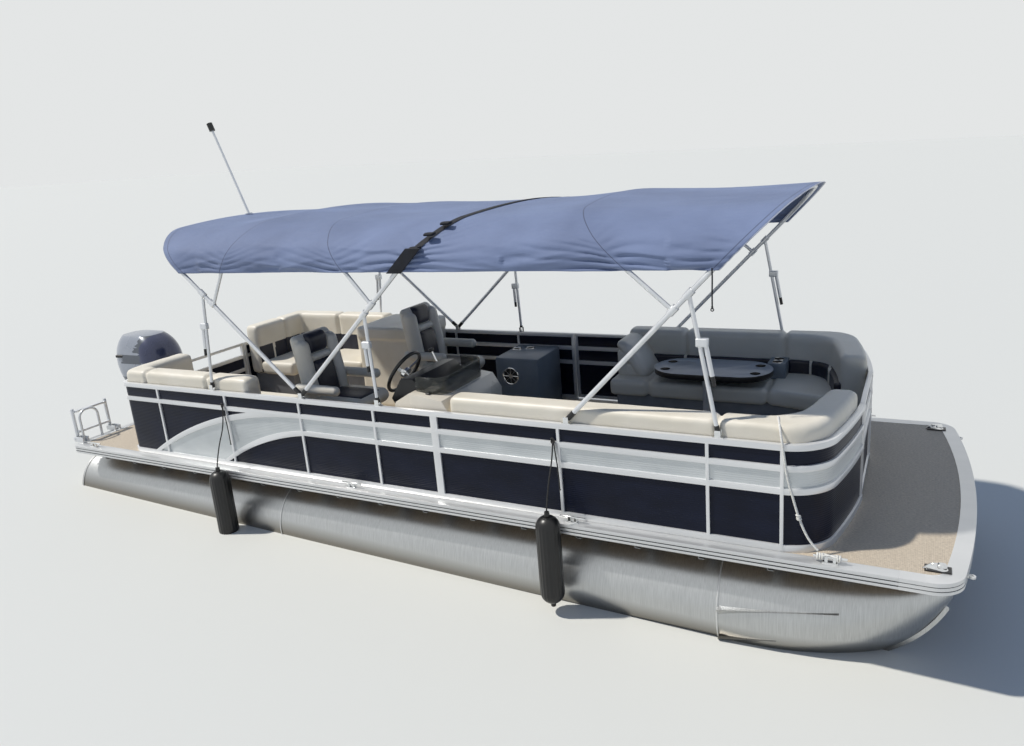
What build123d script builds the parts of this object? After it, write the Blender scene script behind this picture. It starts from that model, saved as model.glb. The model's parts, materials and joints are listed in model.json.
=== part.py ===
from build123d import *
import math
import os

# Pontoon boat, afloat: two aluminium tubes, a railed deck with lounges and a helm, two folding
# tops and an outboard. Millimetres, +X to the bow, +Y to port, +Z up. The origin is on the
# waterline, amidships, on the centreline. A side is -1 for starboard and +1 for port.

SIDES = (-1, 1)
ROUND = math.sqrt(0.5)          # fullness of a quarter circle's middle point
FIT = 0.3                       # gap between pieces that nearly touch
RUNNING = 0.06                  # radial clearance of a pin in its bore

# Pontoon tubes
TUBE_RADIUS = 317.5
TUBE_AXIS_Z = 85
TUBE_OFFSET = 940               # centreline of the boat to the middle of a tube
TUBE_STERN_X = -3900
TUBE_TOP = TUBE_AXIS_Z + TUBE_RADIUS
TUBE_BOTTOM = TUBE_AXIS_Z - TUBE_RADIUS
RING_X = 2370                   # weld ring where the nose begins
RING_PROUD = 4
RING_WIDTH = 16
WELD_RINGS_X = (TUBE_STERN_X + 20, -1250, RING_X)
KEEL_RADIUS = 804               # side view arc of the nose's keel
KEEL_ARC_X = 2878               # where the keel leaves the level
KEEL_STRIP_WIDTH = 26
KEEL_STRIP_DEPTH = 12
NOSE_TIP_X = 3640
# Nose sections: x, half width, height of the widest point, fullness of the sides below it
NOSE_SECTIONS = (
    (RING_X, TUBE_RADIUS, TUBE_AXIS_Z, ROUND),
    (2760, 306, 100, 0.70),
    (3080, 250, 150, 0.64),
    (3380, 150, 240, 0.60),
    (NOSE_TIP_X, 26, 372, 0.58),
)
# Lifting strakes: x, then out from the tube's axis and up, for the root above, the edge, the root below
STRAKES = (
    ((RING_X + 4, (240, 168), (352, 160), (270, 40)), (3060, (180, 232), (262, 222), (200, 190))),
    ((RING_X + 4, (220, -54), (322, -60), (250, -130)), (2720, (230, -6), (300, -12), (240, -40))),
)
RISER_HALF_WIDTH = 75
RISER_FOOT = 55
RISER_WALL = 7
RISER_BOW_X = 3300
RISER_STERN_X = TUBE_STERN_X + 100

# Deck and its edge
DECK_TOP = 575
COVERING_THICK = 3
BOARD_THICK = 25
DECK_HALF_WIDTH = 1295
DECK_STERN_X = -3850
DECK_BOW_X = 3770
DECK_SHOULDER_X = 3655
DECK_BOW_CORNER = 170
DECK_STERN_CORNER = 70
TRIM_WALL = 12
TRIM_WIDTH = 88                 # edge of the deck to the fence
TRIM_LIP = 3                    # the trim's top stands this far above the covering
TRIM_SPLIT_X = 3360             # side trims end and the bow nosing begins
# Ribs of the edge trim: from and to, measured down from the deck's top, and how proud
TRIM_RIBS = ((-3, 20, 6), (20, 25, 3), (25, 45, 5), (45, 50, 3), (50, 68, 6))
TRIM_PROUD = 6
NOTCH_HALF_WIDTH = 350          # motor notch in the deck's stern edge
NOTCH_DEPTH = 340

BOARD_TOP = DECK_TOP - COVERING_THICK
BOARD_BOTTOM = BOARD_TOP - BOARD_THICK

# Cross members under the deck
BEAM_DEPTH = 76
BEAM_FLANGE = 38
BEAM_WALL = 4
BEAM_PITCH = 406
BEAM_COUNT = 17
BEAM_FIRST_X = -3420
BEAM_HALF_LENGTH = DECK_HALF_WIDTH - 35
RISER_TOP = BOARD_BOTTOM - BEAM_DEPTH

# Fence: a closed line inside the deck's edge, in rows between rails
FENCE_HALF_WIDTH = 1206
FENCE_STERN_X = -3050
FENCE_BOW_X = 3130
FENCE_SHOULDER_X = 2956
FENCE_BOW_CORNER = 290
FENCE_STERN_CORNER = 100
FENCE_HEIGHT = 670
FENCE_TOP = DECK_TOP + FENCE_HEIGHT
RAIL_DEPTH = 32
POST_WIDTH = 20
PANEL_INSET = 13
PANEL_THICK = 4
# Rails: how far the top and the bottom of each lie below the fence's top
TOP_RAIL = (0, 37)
UPPER_RAIL = (127, 164)
LOWER_RAIL = (268, 306)
BOTTOM_RAIL = (626, FENCE_HEIGHT)
ARCH_END_X = -870               # where the sweeping arches run into the rails
# Arches: x and height above the deck of foot, middle and end, upper edge then lower edge
OUTER_ARCH = (((-2750, 24), (-1900, 410), (-870, 543)), ((-2690, 24), (-1880, 366), (-870, 506)))
INNER_ARCH = (((-1865, 24), (-1400, 280), (-870, 402)), ((-1812, 24), (-1385, 236), (-870, 364)))
STARBOARD_POSTS = (-2547, -1711, -892, -160, 1344, 2314, 2740)
JOINT_POST_X = 378              # where two fence sections meet in a double post
JOINT_POST_WIDTH = 58
PORT_POSTS = (-2547, -1711, -892, -160, 1900, 2740)

# Gates: hinged at one post, free at the other
GATE_BOTTOM = DECK_TOP + 28
GATE_BAR = 28
GATE_GAP = 5
GATE_INNER = 8                  # hinge line to the gate's inner face
HINGE_RADIUS = 7
HINGE_HEIGHTS = (140, 480)      # above the deck
HINGE_LENGTH = 40
HINGE_PIN = 4
BOW_GATE_HALF = 360
SIDE_GATE_X = (450, 1045)
STERN_GATE_Y = (-505, 275)

# Seats
SEAT_BASE_TOP = 900
SEAT_TOP = 1020
BACK_TOP = 1340
PORT_AFT_BACK_TOP = 1410
BACK_OUTER = 48                 # fence face to the outside of a seat back
BACK_THICK = 150
BACK_TO_SEAT = 6
LOUNGE_FRONT_Y = 480
TOE_KICK = 35
BOW_SEAT_END_Y = 405            # lounge ends beside the bow gate
BOW_CURVE = 260                 # the seat's front edge sweeps forward
STARBOARD_BOW_LOUNGE_X = 500
PORT_BOW_LOUNGE_X = 1075
BOW_RETURN_X = 2440             # where the bow lounges turn in along the bow
AFT_LOUNGE_FRONT_Y = 540
SEAT_REACH_Y = FENCE_HALF_WIDTH + 94
STARBOARD_AFT_LOUNGE_X = -1480
PORT_AFT_LOUNGE_X = -1662
AFT_RETURN_X = -2420            # front of the port lounge's leg along the stern
AFT_RETURN_Y = 330
STORAGE_X = (-1650, -1000)
STORAGE_Y = (520, 1156)
STORAGE_TOP = 1400
STORAGE_LID = 110
INNER_CORNER = 270              # bow corner of the cushions' inner faces
BOLSTER_DEPTH = 48
BOLSTER_HEIGHT = 112
CUP_CONSOLE_X = (2312, 2452)
CUP_CONSOLE_Y = (790, 1002)
CUP_CONSOLE_TOP = 1150

# Bow table
TABLE_X = 1915
TABLE_Y = 596
TABLE_LENGTH = 950
TABLE_WIDTH = 490
TABLE_TOP = 1150
TABLE_THICK = 45
TABLE_POST_RADIUS = 32
TABLE_POST_Y = 400
CUP_RADIUS = 40
CUP_DEPTH = 34
CUPS = ((-360, 113), (-360, -113), (360, 113), (360, -113))

# Helm
CONSOLE_Y = (-1156, -400)
# Side view of the console: x and height above the deck, from the deck forward and round
CONSOLE_PROFILE = ((20, 0), (-30, 540), (30, 700), (150, 770), (430, 735), (500, 620), (470, 0))
DASH_Y = (-1060, -470)
DASH_PROFILE = ((-40, 630), (-78, 690), (20, 842), (130, 850), (230, 755), (100, 650), (40, 630))
SCREEN_SIZE = (500, 640)        # plan of the windscreen's line
SCREEN_X = 150
SCREEN_THICK = 6
# Side view of the windscreen, standing on the console's top
SCREEN_PROFILE = ((170, 768), (430, 735.3), (470, 735.3), (440, 870), (170, 880))
WHEEL_CENTRE = (-150, -770, 1385)
WHEEL_TILT = 32                 # degrees that the wheel's axis rises aft
WHEEL_RADIUS = 178
WHEEL_RIM_RADIUS = 14
WHEEL_SHAFT_RADIUS = 11
WHEEL_SHAFT_LENGTH = 190
PORT_CONSOLE_X = (-150, 300)
PORT_CONSOLE_Y = (650, 1156)
PORT_CONSOLE_TOP = 1120

# Captain's chairs
HELM_CHAIR = (-880, -620)
PASSENGER_CHAIR = (-560, 500)
PEDESTAL_TOP = 965
PEDESTAL_RADIUS = 38
PEDESTAL_FOOT_RADIUS = 170
CHAIR_PIN_RADIUS = 20
CHAIR_PIN_LENGTH = 34
CHAIR_WIDTH = 480
ARM_WIDTH = 68
CHAIR_BACK_TOP = 1640

# Folding tops
BOW_TUBE = 16
BRACE_TUBE = 13
TOP_INSET = 26                  # fence's outside to the middle of a bow
TOP_HALF_WIDTH = FENCE_HALF_WIDTH - TOP_INSET
TOP_FOOT_Z = FENCE_TOP + 22
TOP_CAMBER = 95                 # crown above shoulder, as a height
TOP_CORNER_WIDE = 400           # a bow's corner, inward and down
TOP_CORNER_DEEP = 262
TOP_CROWN_RADIUS = 8800
CANOPY_THICK = 8
CANOPY_GAP = 0.3                # bow tube to canopy
CLOTH_EASE = 4                  # the cloth turns its corners this much tighter than the bows
REAR_FOOT_X = -860
FRONT_FOOT_X = 1405
# A bow's line seen from the side: x and z where it starts, x and z at the canopy's edge, z at its crown
REAR_FORE_BOW = (REAR_FOOT_X, TOP_FOOT_Z, 198, 2239, 2600)
REAR_AFT_BOW = (REAR_FOOT_X, TOP_FOOT_Z, -1928, 2217, 2615)
FRONT_MAIN_BOW = (FRONT_FOOT_X, TOP_FOOT_Z, 2386, 2268, 2605)
FRONT_SECOND_BOW = (2125, 2002, 1854, 2243, 2630)
REAR_SECOND_BOWS = ((-1650, 1991, -1500, 2249, 2640), (-60, 2001, -260, 2239, 2620))
SECOND_BOW_DROP = 6             # their crowns lie this far under the cloth's line
BRACES = ((-1853, REAR_AFT_BOW, 2070), (-117, REAR_FORE_BOW, 1930), (2376, FRONT_MAIN_BOW, 2101))
SLEEVE_RADIUS = 23
SLEEVE_LENGTH = 60
SLIDER_LENGTH = 190
CANOPY_LOW_Z = 2235
BOOT_WIDTH = 60
BOOT_THICK = 3
SEAM_GAP = 4                    # each canopy's end to the bow they share
HEM = 24                        # how far the rear cloth laps past its aft bow
FRONT_HEM = 52
POLE_RADIUS = 11
POLE_FOOT = (-2335, 0, 2617.8)
POLE_TOP = (-2629, 0, 3400)

# Outboard
TRANSOM_X = -3850
TRANSOM_TOP = 485
TRANSOM_THICK = 60
POD_HALF_WIDTH = 290
TILT_X = -3935
TILT_Z = 470
TILT_PIN_RADIUS = 14
SWIVEL_X = -4010
STEER_PIN_RADIUS = 16
LEG_SETBACK = 110
LEG_X = SWIVEL_X - LEG_SETBACK
COWL_BOTTOM = 820
COWL_SIZE = (640, 400)           # length and width where the cowl meets its pan
PAN_DEPTH = 90
COWL_TOP = 1375
POWERHEAD_X = (LEG_X - 320, LEG_X + 120)
POWERHEAD_HALF_WIDTH = 150
POWERHEAD_TOP = COWL_TOP - 130
PLATE_Z = -190
PROP_Z = -385
PROP_X = LEG_X - 280
PROP_RADIUS = 170
PROP_HUB = 52
PROP_HUB_LENGTH = 110
PROP_SHAFT_RADIUS = 14
PROP_BLADES = 3
PROP_PITCH = 26                 # degrees

# Boarding ladder
LADDER_X = DECK_STERN_X - 52
LADDER_Y = -1010
LADDER_WIDTH = 350
LADDER_HINGE_Z = 610
LADDER_TOP = 905
LADDER_RAIL = 16
LADDER_PIN = 9
HOOP_Y = (-1175, -985)          # hand hoop beside the ladder
HOOP_CORNER = 80

# Things hung on the side
CLEATS_X = (-3560, -420, 1433, 3012)
CLEAT_Y = 1250
BOW_LIGHT = (3540, 1135)
BOW_EYE = (3712, 1080, 535)
BOW_EYE_RADIUS = 9
FENDER_RADIUS = 83
FENDER_LENGTH = 470
FENDER_GAP = 0.2
FENDERS_X = (-1735, 1310)
FENDER_MIDDLE_Z = (290, 350)
LINE_RADIUS = 5
DOCK_LINE_RADIUS = 7
# From the starboard bow seat over the rail and down to the bow cleat
BOW_LINE = ((2690, -1030, 1347.2), (2718, -1166, 1355), (2742, -1220, 1262), (2757, -1222, 1160),
            (2772, -1222, 1055), (2800, -1222, 950), (2830, -1224, 840), (2870, -1228, 735), (2912, -1234, 668),
            (2945, -1241, 640))
BOW_LINE_BENDS = (35, 60, 100, 100, 100, 100, 100, 60)


def block(x_range, y_range, z_range):
    low = (x_range[0], y_range[0], z_range[0])
    size = (x_range[1] - x_range[0], y_range[1] - y_range[0], z_range[1] - z_range[0])
    return Pos(*low) * Box(*size, align=(Align.MIN, Align.MIN, Align.MIN))


def slab(face, low, high):
    return extrude(Pos(0, 0, low) * face, high - low)


def side_profile(points, y_range):
    # An outline in the XZ plane, pushed from one y to another
    outline = make_face(Polyline(*points, close=True))
    plane = Plane(origin=(0, y_range[0], 0), x_dir=(1, 0, 0), z_dir=(0, -1, 0))
    return extrude(plane * outline, y_range[0] - y_range[1])


def rod(start, end, radius):
    a, b = Vector(*start), Vector(*end)
    plane = Plane(origin=start, z_dir=(b - a))
    return extrude(plane * Circle(radius), (b - a).length)


def tube_run(points, radii, radius):
    path = FilletPolyline(*points, radius=radii)
    start = Plane(origin=path @ 0, z_dir=path % 0)
    return sweep(start * Circle(radius), path=path)


def save(name, *shapes):
    solids = []
    for shape in shapes:
        solids.extend(shape.solids())
    whole = solids[0] if len(solids) == 1 else Compound(children=solids)
    export_step(whole, os.path.join("parts", name + ".step"))


# Underbody

def keel_height(x):
    if x <= KEEL_ARC_X:
        return TUBE_BOTTOM
    return TUBE_BOTTOM + KEEL_RADIUS - math.sqrt(KEEL_RADIUS ** 2 - (x - KEEL_ARC_X) ** 2)


def across(x, side):
    # A section plane across one tube: first coordinate to port of its axis, second up
    return Plane(origin=(x, side * TUBE_OFFSET, 0), x_dir=(0, 1, 0), z_dir=(1, 0, 0))


def nose_section(x, half_width, widest, fullness, side):
    rise, drop = TUBE_TOP - widest, widest - keel_height(x)
    top, bottom = (0, TUBE_TOP), (0, keel_height(x))
    arcs = []
    for hand in SIDES:
        edge = (hand * half_width, widest)
        above = (hand * half_width * ROUND, widest + rise * ROUND)
        below = (hand * half_width * fullness, widest - drop * fullness)
        arcs += [ThreePointArc(top, above, edge), ThreePointArc(edge, below, bottom)]
    return across(x, side) * make_face(arcs)


def strake(sections, side, hand):
    faces = []
    for x, *corners in sections:
        points = [(hand * out, up) for out, up in corners]
        faces.append(across(x, side) * make_face(Polyline(*points, close=True)))
    return loft(faces, ruled=True)


def keel_strip(side):
    # The strip follows the keel: level, then round the arc of the nose
    end_x = NOSE_TIP_X - 30
    middle_x = (KEEL_ARC_X + end_x) / 2
    centre_z = TUBE_BOTTOM + KEEL_RADIUS
    outer = KEEL_RADIUS + KEEL_STRIP_DEPTH
    swing = math.asin((end_x - KEEL_ARC_X) / KEEL_RADIUS)
    half = math.asin((middle_x - KEEL_ARC_X) / KEEL_RADIUS)

    def on_arc(radius, angle):
        return (KEEL_ARC_X + radius * math.sin(angle), centre_z - radius * math.cos(angle))

    inner = KEEL_RADIUS - KEEL_STRIP_DEPTH
    stern = TUBE_STERN_X + 60
    lines = [
        Line((stern, centre_z - outer), (KEEL_ARC_X, centre_z - outer)),
        ThreePointArc(on_arc(outer, 0), on_arc(outer, half), on_arc(outer, swing)),
        Line(on_arc(outer, swing), on_arc(inner, swing)),
        ThreePointArc(on_arc(inner, swing), on_arc(inner, half), on_arc(inner, 0)),
        Line((KEEL_ARC_X, centre_z - inner), (stern, centre_z - inner)),
        Line((stern, centre_z - inner), (stern, centre_z - outer)),
    ]
    y = side * TUBE_OFFSET + KEEL_STRIP_WIDTH / 2
    plane = Plane(origin=(0, y, 0), x_dir=(1, 0, 0), z_dir=(0, -1, 0))
    return extrude(plane * make_face(lines), KEEL_STRIP_WIDTH)


def riser(side):
    foot_z, top = TUBE_TOP - 14, RISER_TOP
    outer = [(-RISER_FOOT, foot_z), (-RISER_HALF_WIDTH, top), (RISER_HALF_WIDTH, top), (RISER_FOOT, foot_z)]
    wall = RISER_WALL
    inner = [(-RISER_FOOT + wall, foot_z), (-RISER_HALF_WIDTH + wall, top - wall),
             (RISER_HALF_WIDTH - wall, top - wall), (RISER_FOOT - wall, foot_z)]
    section = make_face(Polyline(*outer, close=True)) - make_face(Polyline(*inner, close=True))
    return extrude(across(RISER_STERN_X, side) * section, RISER_BOW_X - RISER_STERN_X)


def pontoon(side):
    body = extrude(across(TUBE_STERN_X, side) * Pos(0, TUBE_AXIS_Z) * Circle(TUBE_RADIUS), RING_X - TUBE_STERN_X)
    body += loft([nose_section(*row, side) for row in NOSE_SECTIONS])
    for x in WELD_RINGS_X:
        ring = Pos(0, TUBE_AXIS_Z) * Circle(TUBE_RADIUS + RING_PROUD)
        body += extrude(across(x - RING_WIDTH / 2, side) * ring, RING_WIDTH)
    for sections in STRAKES:
        for hand in SIDES:
            body += strake(sections, side, hand)
    return body + keel_strip(side) + riser(side)


def beam(x, half_length):
    low, high = RISER_TOP, BOARD_BOTTOM
    solid = block((x, x + BEAM_FLANGE), (-half_length, half_length), (low, high))
    hollow = block((x + BEAM_WALL, x + BEAM_FLANGE), (-half_length, half_length),
                   (low + BEAM_WALL, high - BEAM_WALL))
    return solid - hollow


def cross_members():
    beams = []
    for number in range(BEAM_COUNT):
        x = BEAM_FIRST_X + number * BEAM_PITCH
        shortened = 150 if x > NOSE_TIP_X - 700 else 0
        beams.append(beam(x, BEAM_HALF_LENGTH - shortened))
    return beams


def motor_pod():
    # A welded box between the tubes, with the transom across its stern and a well for the motor
    well = DECK_STERN_X + NOTCH_DEPTH
    points = ((TRANSOM_X, -90), (TRANSOM_X, TRANSOM_TOP), (TRANSOM_X + TRANSOM_THICK, TRANSOM_TOP),
              (TRANSOM_X + TRANSOM_THICK, 300), (well, 300), (well, RISER_TOP), (-2500, RISER_TOP),
              (-2500, 250), (-2900, -40))
    return side_profile(points, (-POD_HALF_WIDTH, POD_HALF_WIDTH))


# Deck

def deck_face(inset):
    half = DECK_HALF_WIDTH - inset
    stern, shoulder = DECK_STERN_X + inset, DECK_SHOULDER_X - inset
    face = make_face([
        Line((stern, -half), (shoulder, -half)),
        ThreePointArc((shoulder, -half), (DECK_BOW_X - inset, 0), (shoulder, half)),
        Line((shoulder, half), (stern, half)),
        Line((stern, half), (stern, -half)),
    ])
    face = fillet(face.vertices().sort_by(Axis.X)[-2:], DECK_BOW_CORNER - inset)
    return fillet(face.vertices().sort_by(Axis.X)[:2], max(DECK_STERN_CORNER - inset, 4))


def notch(grow=0):
    half = NOTCH_HALF_WIDTH + grow
    return block((DECK_STERN_X - 50, DECK_STERN_X + NOTCH_DEPTH + grow), (-half, half), (0, DECK_TOP + 100))


def deck_board():
    return slab(deck_face(TRIM_WALL), BOARD_BOTTOM, BOARD_TOP) - notch()


def floor_covering():
    return slab(deck_face(TRIM_WIDTH), BOARD_TOP, DECK_TOP) - notch(TRIM_LIP)


def edge_trim():
    # The ribbed extrusion round the deck: a wall outside the board and a plate on top of it
    trim = slab(deck_face(0) - deck_face(TRIM_WIDTH), BOARD_TOP, DECK_TOP + TRIM_LIP)
    for down_from, down_to, proud in TRIM_RIBS:
        rib = deck_face(TRIM_PROUD - proud) - deck_face(TRIM_WALL)
        trim += slab(rib, DECK_TOP - down_to, DECK_TOP - down_from)
    return trim - notch()


def split_trim(trim):
    reach = DECK_HALF_WIDTH + 100
    heights = (DECK_TOP - 200, DECK_TOP + 100)
    fore = block((TRIM_SPLIT_X, DECK_BOW_X + 100), (-reach, reach), heights)
    return trim - fore, trim & fore


def cleat(x, side):
    foot = DECK_TOP + TRIM_LIP
    horn = Pos(x, side * CLEAT_Y, foot + 34) * Rot(0, 90, 0) * Cylinder(8, 180)
    base = block((x - 42, x + 42), (side * CLEAT_Y - 15, side * CLEAT_Y + 15), (foot, foot + 8))
    shape = horn + base
    for step in (-22, 22):
        shape += block((x + step - 8, x + step + 8), (side * CLEAT_Y - 8, side * CLEAT_Y + 8), (foot, foot + 34))
    return shape


def bow_light(side):
    # A teardrop housing, wide forward, on the bow corner of the deck
    x, y = BOW_LIGHT
    low = make_face([ThreePointArc((30, -34), (62, 0), (30, 34)), Line((30, 34), (-70, 5)),
                     Line((-70, 5), (-70, -5)), Line((-70, -5), (30, -34))])
    high = scale(low, by=0.45)
    place = Pos(x, side * y, DECK_TOP + TRIM_LIP + 0.2)
    return loft([place * low, place * Pos(0, 0, 34) * high])


def bow_eye(side):
    # Ring bolted to the bow's face
    place = Pos(BOW_EYE[0], side * BOW_EYE[1], BOW_EYE[2])
    stem = Pos(-26, 0, 0) * Box(28, 16, 12)
    return place * (Cylinder(BOW_EYE_RADIUS + 9, 12) + stem - Cylinder(BOW_EYE_RADIUS, 12))


# Fence

def fence_face(inset, bow_corner=None):
    # The fence's closed line, moved in by the inset
    half = FENCE_HALF_WIDTH - inset
    stern, shoulder = FENCE_STERN_X + inset, FENCE_SHOULDER_X - inset
    face = make_face([
        Line((stern, -half), (shoulder, -half)),
        ThreePointArc((shoulder, -half), (FENCE_BOW_X - inset, 0), (shoulder, half)),
        Line((shoulder, half), (stern, half)),
        Line((stern, half), (stern, -half)),
    ])
    corner = bow_corner or FENCE_BOW_CORNER - inset
    face = fillet(face.vertices().sort_by(Axis.X)[-2:], corner)
    return fillet(face.vertices().sort_by(Axis.X)[:2], max(FENCE_STERN_CORNER - inset, 8))


def ring_row(outer_inset, inner_inset, below_top):
    band = fence_face(outer_inset) - fence_face(inner_inset)
    return slab(band, FENCE_TOP - below_top[1], FENCE_TOP - below_top[0])


def arch_points(edge):
    return [(x, DECK_TOP + up) for x, up in edge]


def arch_rib(arch):
    # One sweeping rib, on both sides of the boat
    upper, lower = (arch_points(edge) for edge in arch)
    face = make_face([
        ThreePointArc(*upper), Line(upper[2], lower[2]),
        ThreePointArc(*lower), Line(lower[0], upper[0]),
    ])
    ribs = []
    for side in SIDES:
        start = FENCE_HALF_WIDTH if side > 0 else RAIL_DEPTH - FENCE_HALF_WIDTH
        plane = Plane(origin=(0, start, 0), x_dir=(1, 0, 0), z_dir=(0, -1, 0))
        ribs.append(extrude(plane * face, RAIL_DEPTH))
    return ribs


def under_arch(arch):
    # Everything below the middle line of an arch, right across the boat
    upper, lower = (arch_points(edge) for edge in arch)
    middle = [((a[0] + b[0]) / 2, (a[1] + b[1]) / 2) for a, b in zip(upper, lower)]
    corner = (middle[2][0], DECK_TOP - 10)
    foot = (middle[0][0], DECK_TOP - 10)
    face = make_face([ThreePointArc(*middle), Line(middle[2], corner), Line(corner, foot), Line(foot, middle[0])])
    reach = FENCE_HALF_WIDTH + 100
    plane = Plane(origin=(0, reach, 0), x_dir=(1, 0, 0), z_dir=(0, -1, 0))
    return extrude(plane * face, 2 * reach)


def post(x, side, width=POST_WIDTH):
    inner, outer = FENCE_HALF_WIDTH - RAIL_DEPTH, FENCE_HALF_WIDTH
    y_range = (-outer, -inner) if side < 0 else (inner, outer)
    return block((x - width / 2, x + width / 2), y_range, (DECK_TOP, FENCE_TOP))


def gate_openings():
    high = FENCE_TOP + 50
    reach = 100
    bow = block((FENCE_BOW_X - reach, FENCE_BOW_X + reach), (-BOW_GATE_HALF, BOW_GATE_HALF), (DECK_TOP, high))
    side = block(SIDE_GATE_X, (FENCE_HALF_WIDTH - reach, FENCE_HALF_WIDTH + reach), (DECK_TOP, high))
    stern = block((FENCE_STERN_X - reach, FENCE_STERN_X + reach), STERN_GATE_Y, (DECK_TOP, high))
    return bow + side + stern


def gate_posts():
    # A square post on each side of each opening
    heights = (DECK_TOP, FENCE_TOP)
    bow_in = FENCE_BOW_X - 18
    posts = []
    for side in SIDES:
        y = side * (BOW_GATE_HALF + RAIL_DEPTH / 2)
        posts.append(block((bow_in - RAIL_DEPTH, bow_in), (y - 16, y + 16), heights))
    inner, outer = FENCE_HALF_WIDTH - RAIL_DEPTH, FENCE_HALF_WIDTH
    posts.append(block((SIDE_GATE_X[0] - RAIL_DEPTH, SIDE_GATE_X[0]), (inner, outer), heights))
    posts.append(block((SIDE_GATE_X[1], SIDE_GATE_X[1] + RAIL_DEPTH), (inner, outer), heights))
    stern = (FENCE_STERN_X, FENCE_STERN_X + RAIL_DEPTH)
    posts.append(block(stern, (STERN_GATE_Y[0] - RAIL_DEPTH, STERN_GATE_Y[0]), heights))
    posts.append(block(stern, (STERN_GATE_Y[1], STERN_GATE_Y[1] + RAIL_DEPTH), heights))
    return posts


def fence():
    # The whole fence in one, cut into its sections and panels
    frame = ring_row(0, RAIL_DEPTH, TOP_RAIL)
    frame += ring_row(0, RAIL_DEPTH, UPPER_RAIL)
    frame += ring_row(0, RAIL_DEPTH, BOTTOM_RAIL)
    reach = FENCE_HALF_WIDTH + 100
    aft = block((FENCE_STERN_X - 100, ARCH_END_X), (-reach, reach), (DECK_TOP - 50, FENCE_TOP + 50))
    frame += ring_row(0, RAIL_DEPTH, LOWER_RAIL) - aft
    for arch in (OUTER_ARCH, INNER_ARCH):
        for rib in arch_rib(arch):
            frame += rib
    for x in STARBOARD_POSTS:
        frame += post(x, -1)
    frame += post(JOINT_POST_X, -1, JOINT_POST_WIDTH)
    for x in PORT_POSTS:
        frame += post(x, 1)
    openings = gate_openings()
    frame -= openings
    for upright in gate_posts():
        frame += upright

    outer, inner = PANEL_INSET, PANEL_INSET + PANEL_THICK
    strip = ring_row(outer, inner, (TOP_RAIL[1], UPPER_RAIL[0]))
    band = ring_row(outer, inner, (UPPER_RAIL[1], LOWER_RAIL[0])) - aft
    lower = ring_row(outer, inner, (LOWER_RAIL[1], BOTTOM_RAIL[0])) - aft
    swept = ring_row(outer, inner, (UPPER_RAIL[1], BOTTOM_RAIL[0])) & aft
    between = under_arch(OUTER_ARCH) - under_arch(INNER_ARCH)
    navy = strip + lower + (swept - between)
    silver = band + (swept & between)
    return frame, navy - frame - openings, silver - frame - openings


def fence_zones():
    # The three runs of fence between the gates
    reach = FENCE_HALF_WIDTH + 100
    heights = (DECK_TOP - 50, FENCE_TOP + 50)
    starboard = block((-4000, 4000), (-reach, (STERN_GATE_Y[0] + 60)), heights)
    starboard += block((FENCE_BOW_X - 400, 4000), (-reach, 0), heights)
    port_bow = block((SIDE_GATE_X[1] - 60, 4000), (60, reach), heights)
    port_aft = block((-4000, SIDE_GATE_X[0] + 60), (60, reach), heights)
    return starboard, port_bow, port_aft


def gate_place(hinge, turn):
    return Pos(hinge[0], hinge[1], 0) * Rot(0, 0, turn)


def gate_table():
    # Name, hinge line, turn of the gate about it, width of the opening
    side_y = FENCE_HALF_WIDTH - RAIL_DEPTH - GATE_INNER
    stern_x = FENCE_STERN_X + RAIL_DEPTH + GATE_INNER
    bow_x = FENCE_BOW_X - 18 - RAIL_DEPTH - GATE_INNER
    return (
        ("bow_gate", (bow_x, GATE_GAP - BOW_GATE_HALF), -90, 2 * BOW_GATE_HALF),
        ("side_gate", (SIDE_GATE_X[1] - GATE_GAP, side_y), 0, SIDE_GATE_X[1] - SIDE_GATE_X[0]),
        ("stern_gate", (stern_x, STERN_GATE_Y[1] - GATE_GAP), 90, STERN_GATE_Y[1] - STERN_GATE_Y[0]),
    )


def gate(width):
    # The gate lies along -X from its hinge line, with its inner face just beyond it in y
    return mirror(gate_panel(width), Plane.YZ)


def gate_panel(width):
    length = width - 2 * GATE_GAP
    faces = (GATE_INNER + 1, GATE_INNER + 1 + GATE_BAR)
    rim = block((0, length), faces, (GATE_BOTTOM, FENCE_TOP))
    rim -= block((GATE_BAR, length - GATE_BAR), faces, (GATE_BOTTOM + GATE_BAR, FENCE_TOP - GATE_BAR))
    for below in (UPPER_RAIL, LOWER_RAIL):
        rim += block((0, length), faces, (FENCE_TOP - below[1], FENCE_TOP - below[0]))
    middle = GATE_INNER + 1 + GATE_BAR / 2
    skin = (middle - PANEL_THICK / 2, middle + PANEL_THICK / 2)
    rim += block((GATE_BAR / 2, length - GATE_BAR / 2), skin, (GATE_BOTTOM + 5, FENCE_TOP - 5))
    pins = []
    for up in HINGE_HEIGHTS:
        low = DECK_TOP + up + HINGE_LENGTH + 1
        rim += knuckle(low)
        pins.append(hinge_pin(low - HINGE_LENGTH, HINGE_PIN + RUNNING))
        rim += block((-2, 14), (HINGE_RADIUS - 3, GATE_INNER + 4), (low, low + HINGE_LENGTH))
    for pin in pins:
        rim -= pin
    return rim


def knuckle(low):
    return Pos(0, 0, low) * Cylinder(HINGE_RADIUS, HINGE_LENGTH, align=(Align.CENTER, Align.CENTER, Align.MIN))


def hinge_pin(low, radius):
    return Pos(0, 0, low) * Cylinder(radius, 2 * HINGE_LENGTH + 4, align=(Align.CENTER, Align.CENTER, Align.MIN))


def gate_hinges(hinge, turn):
    # The half of each hinge that the post carries, with its pin
    shapes = []
    for up in HINGE_HEIGHTS:
        low = DECK_TOP + up
        strap = block((-GATE_GAP - 16, 0), (HINGE_RADIUS - 3, GATE_INNER + 4), (low, low + HINGE_LENGTH))
        shapes.append(gate_place(hinge, turn) * mirror(knuckle(low) + strap + hinge_pin(low, HINGE_PIN), Plane.YZ))
    return shapes


# Lounges

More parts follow.
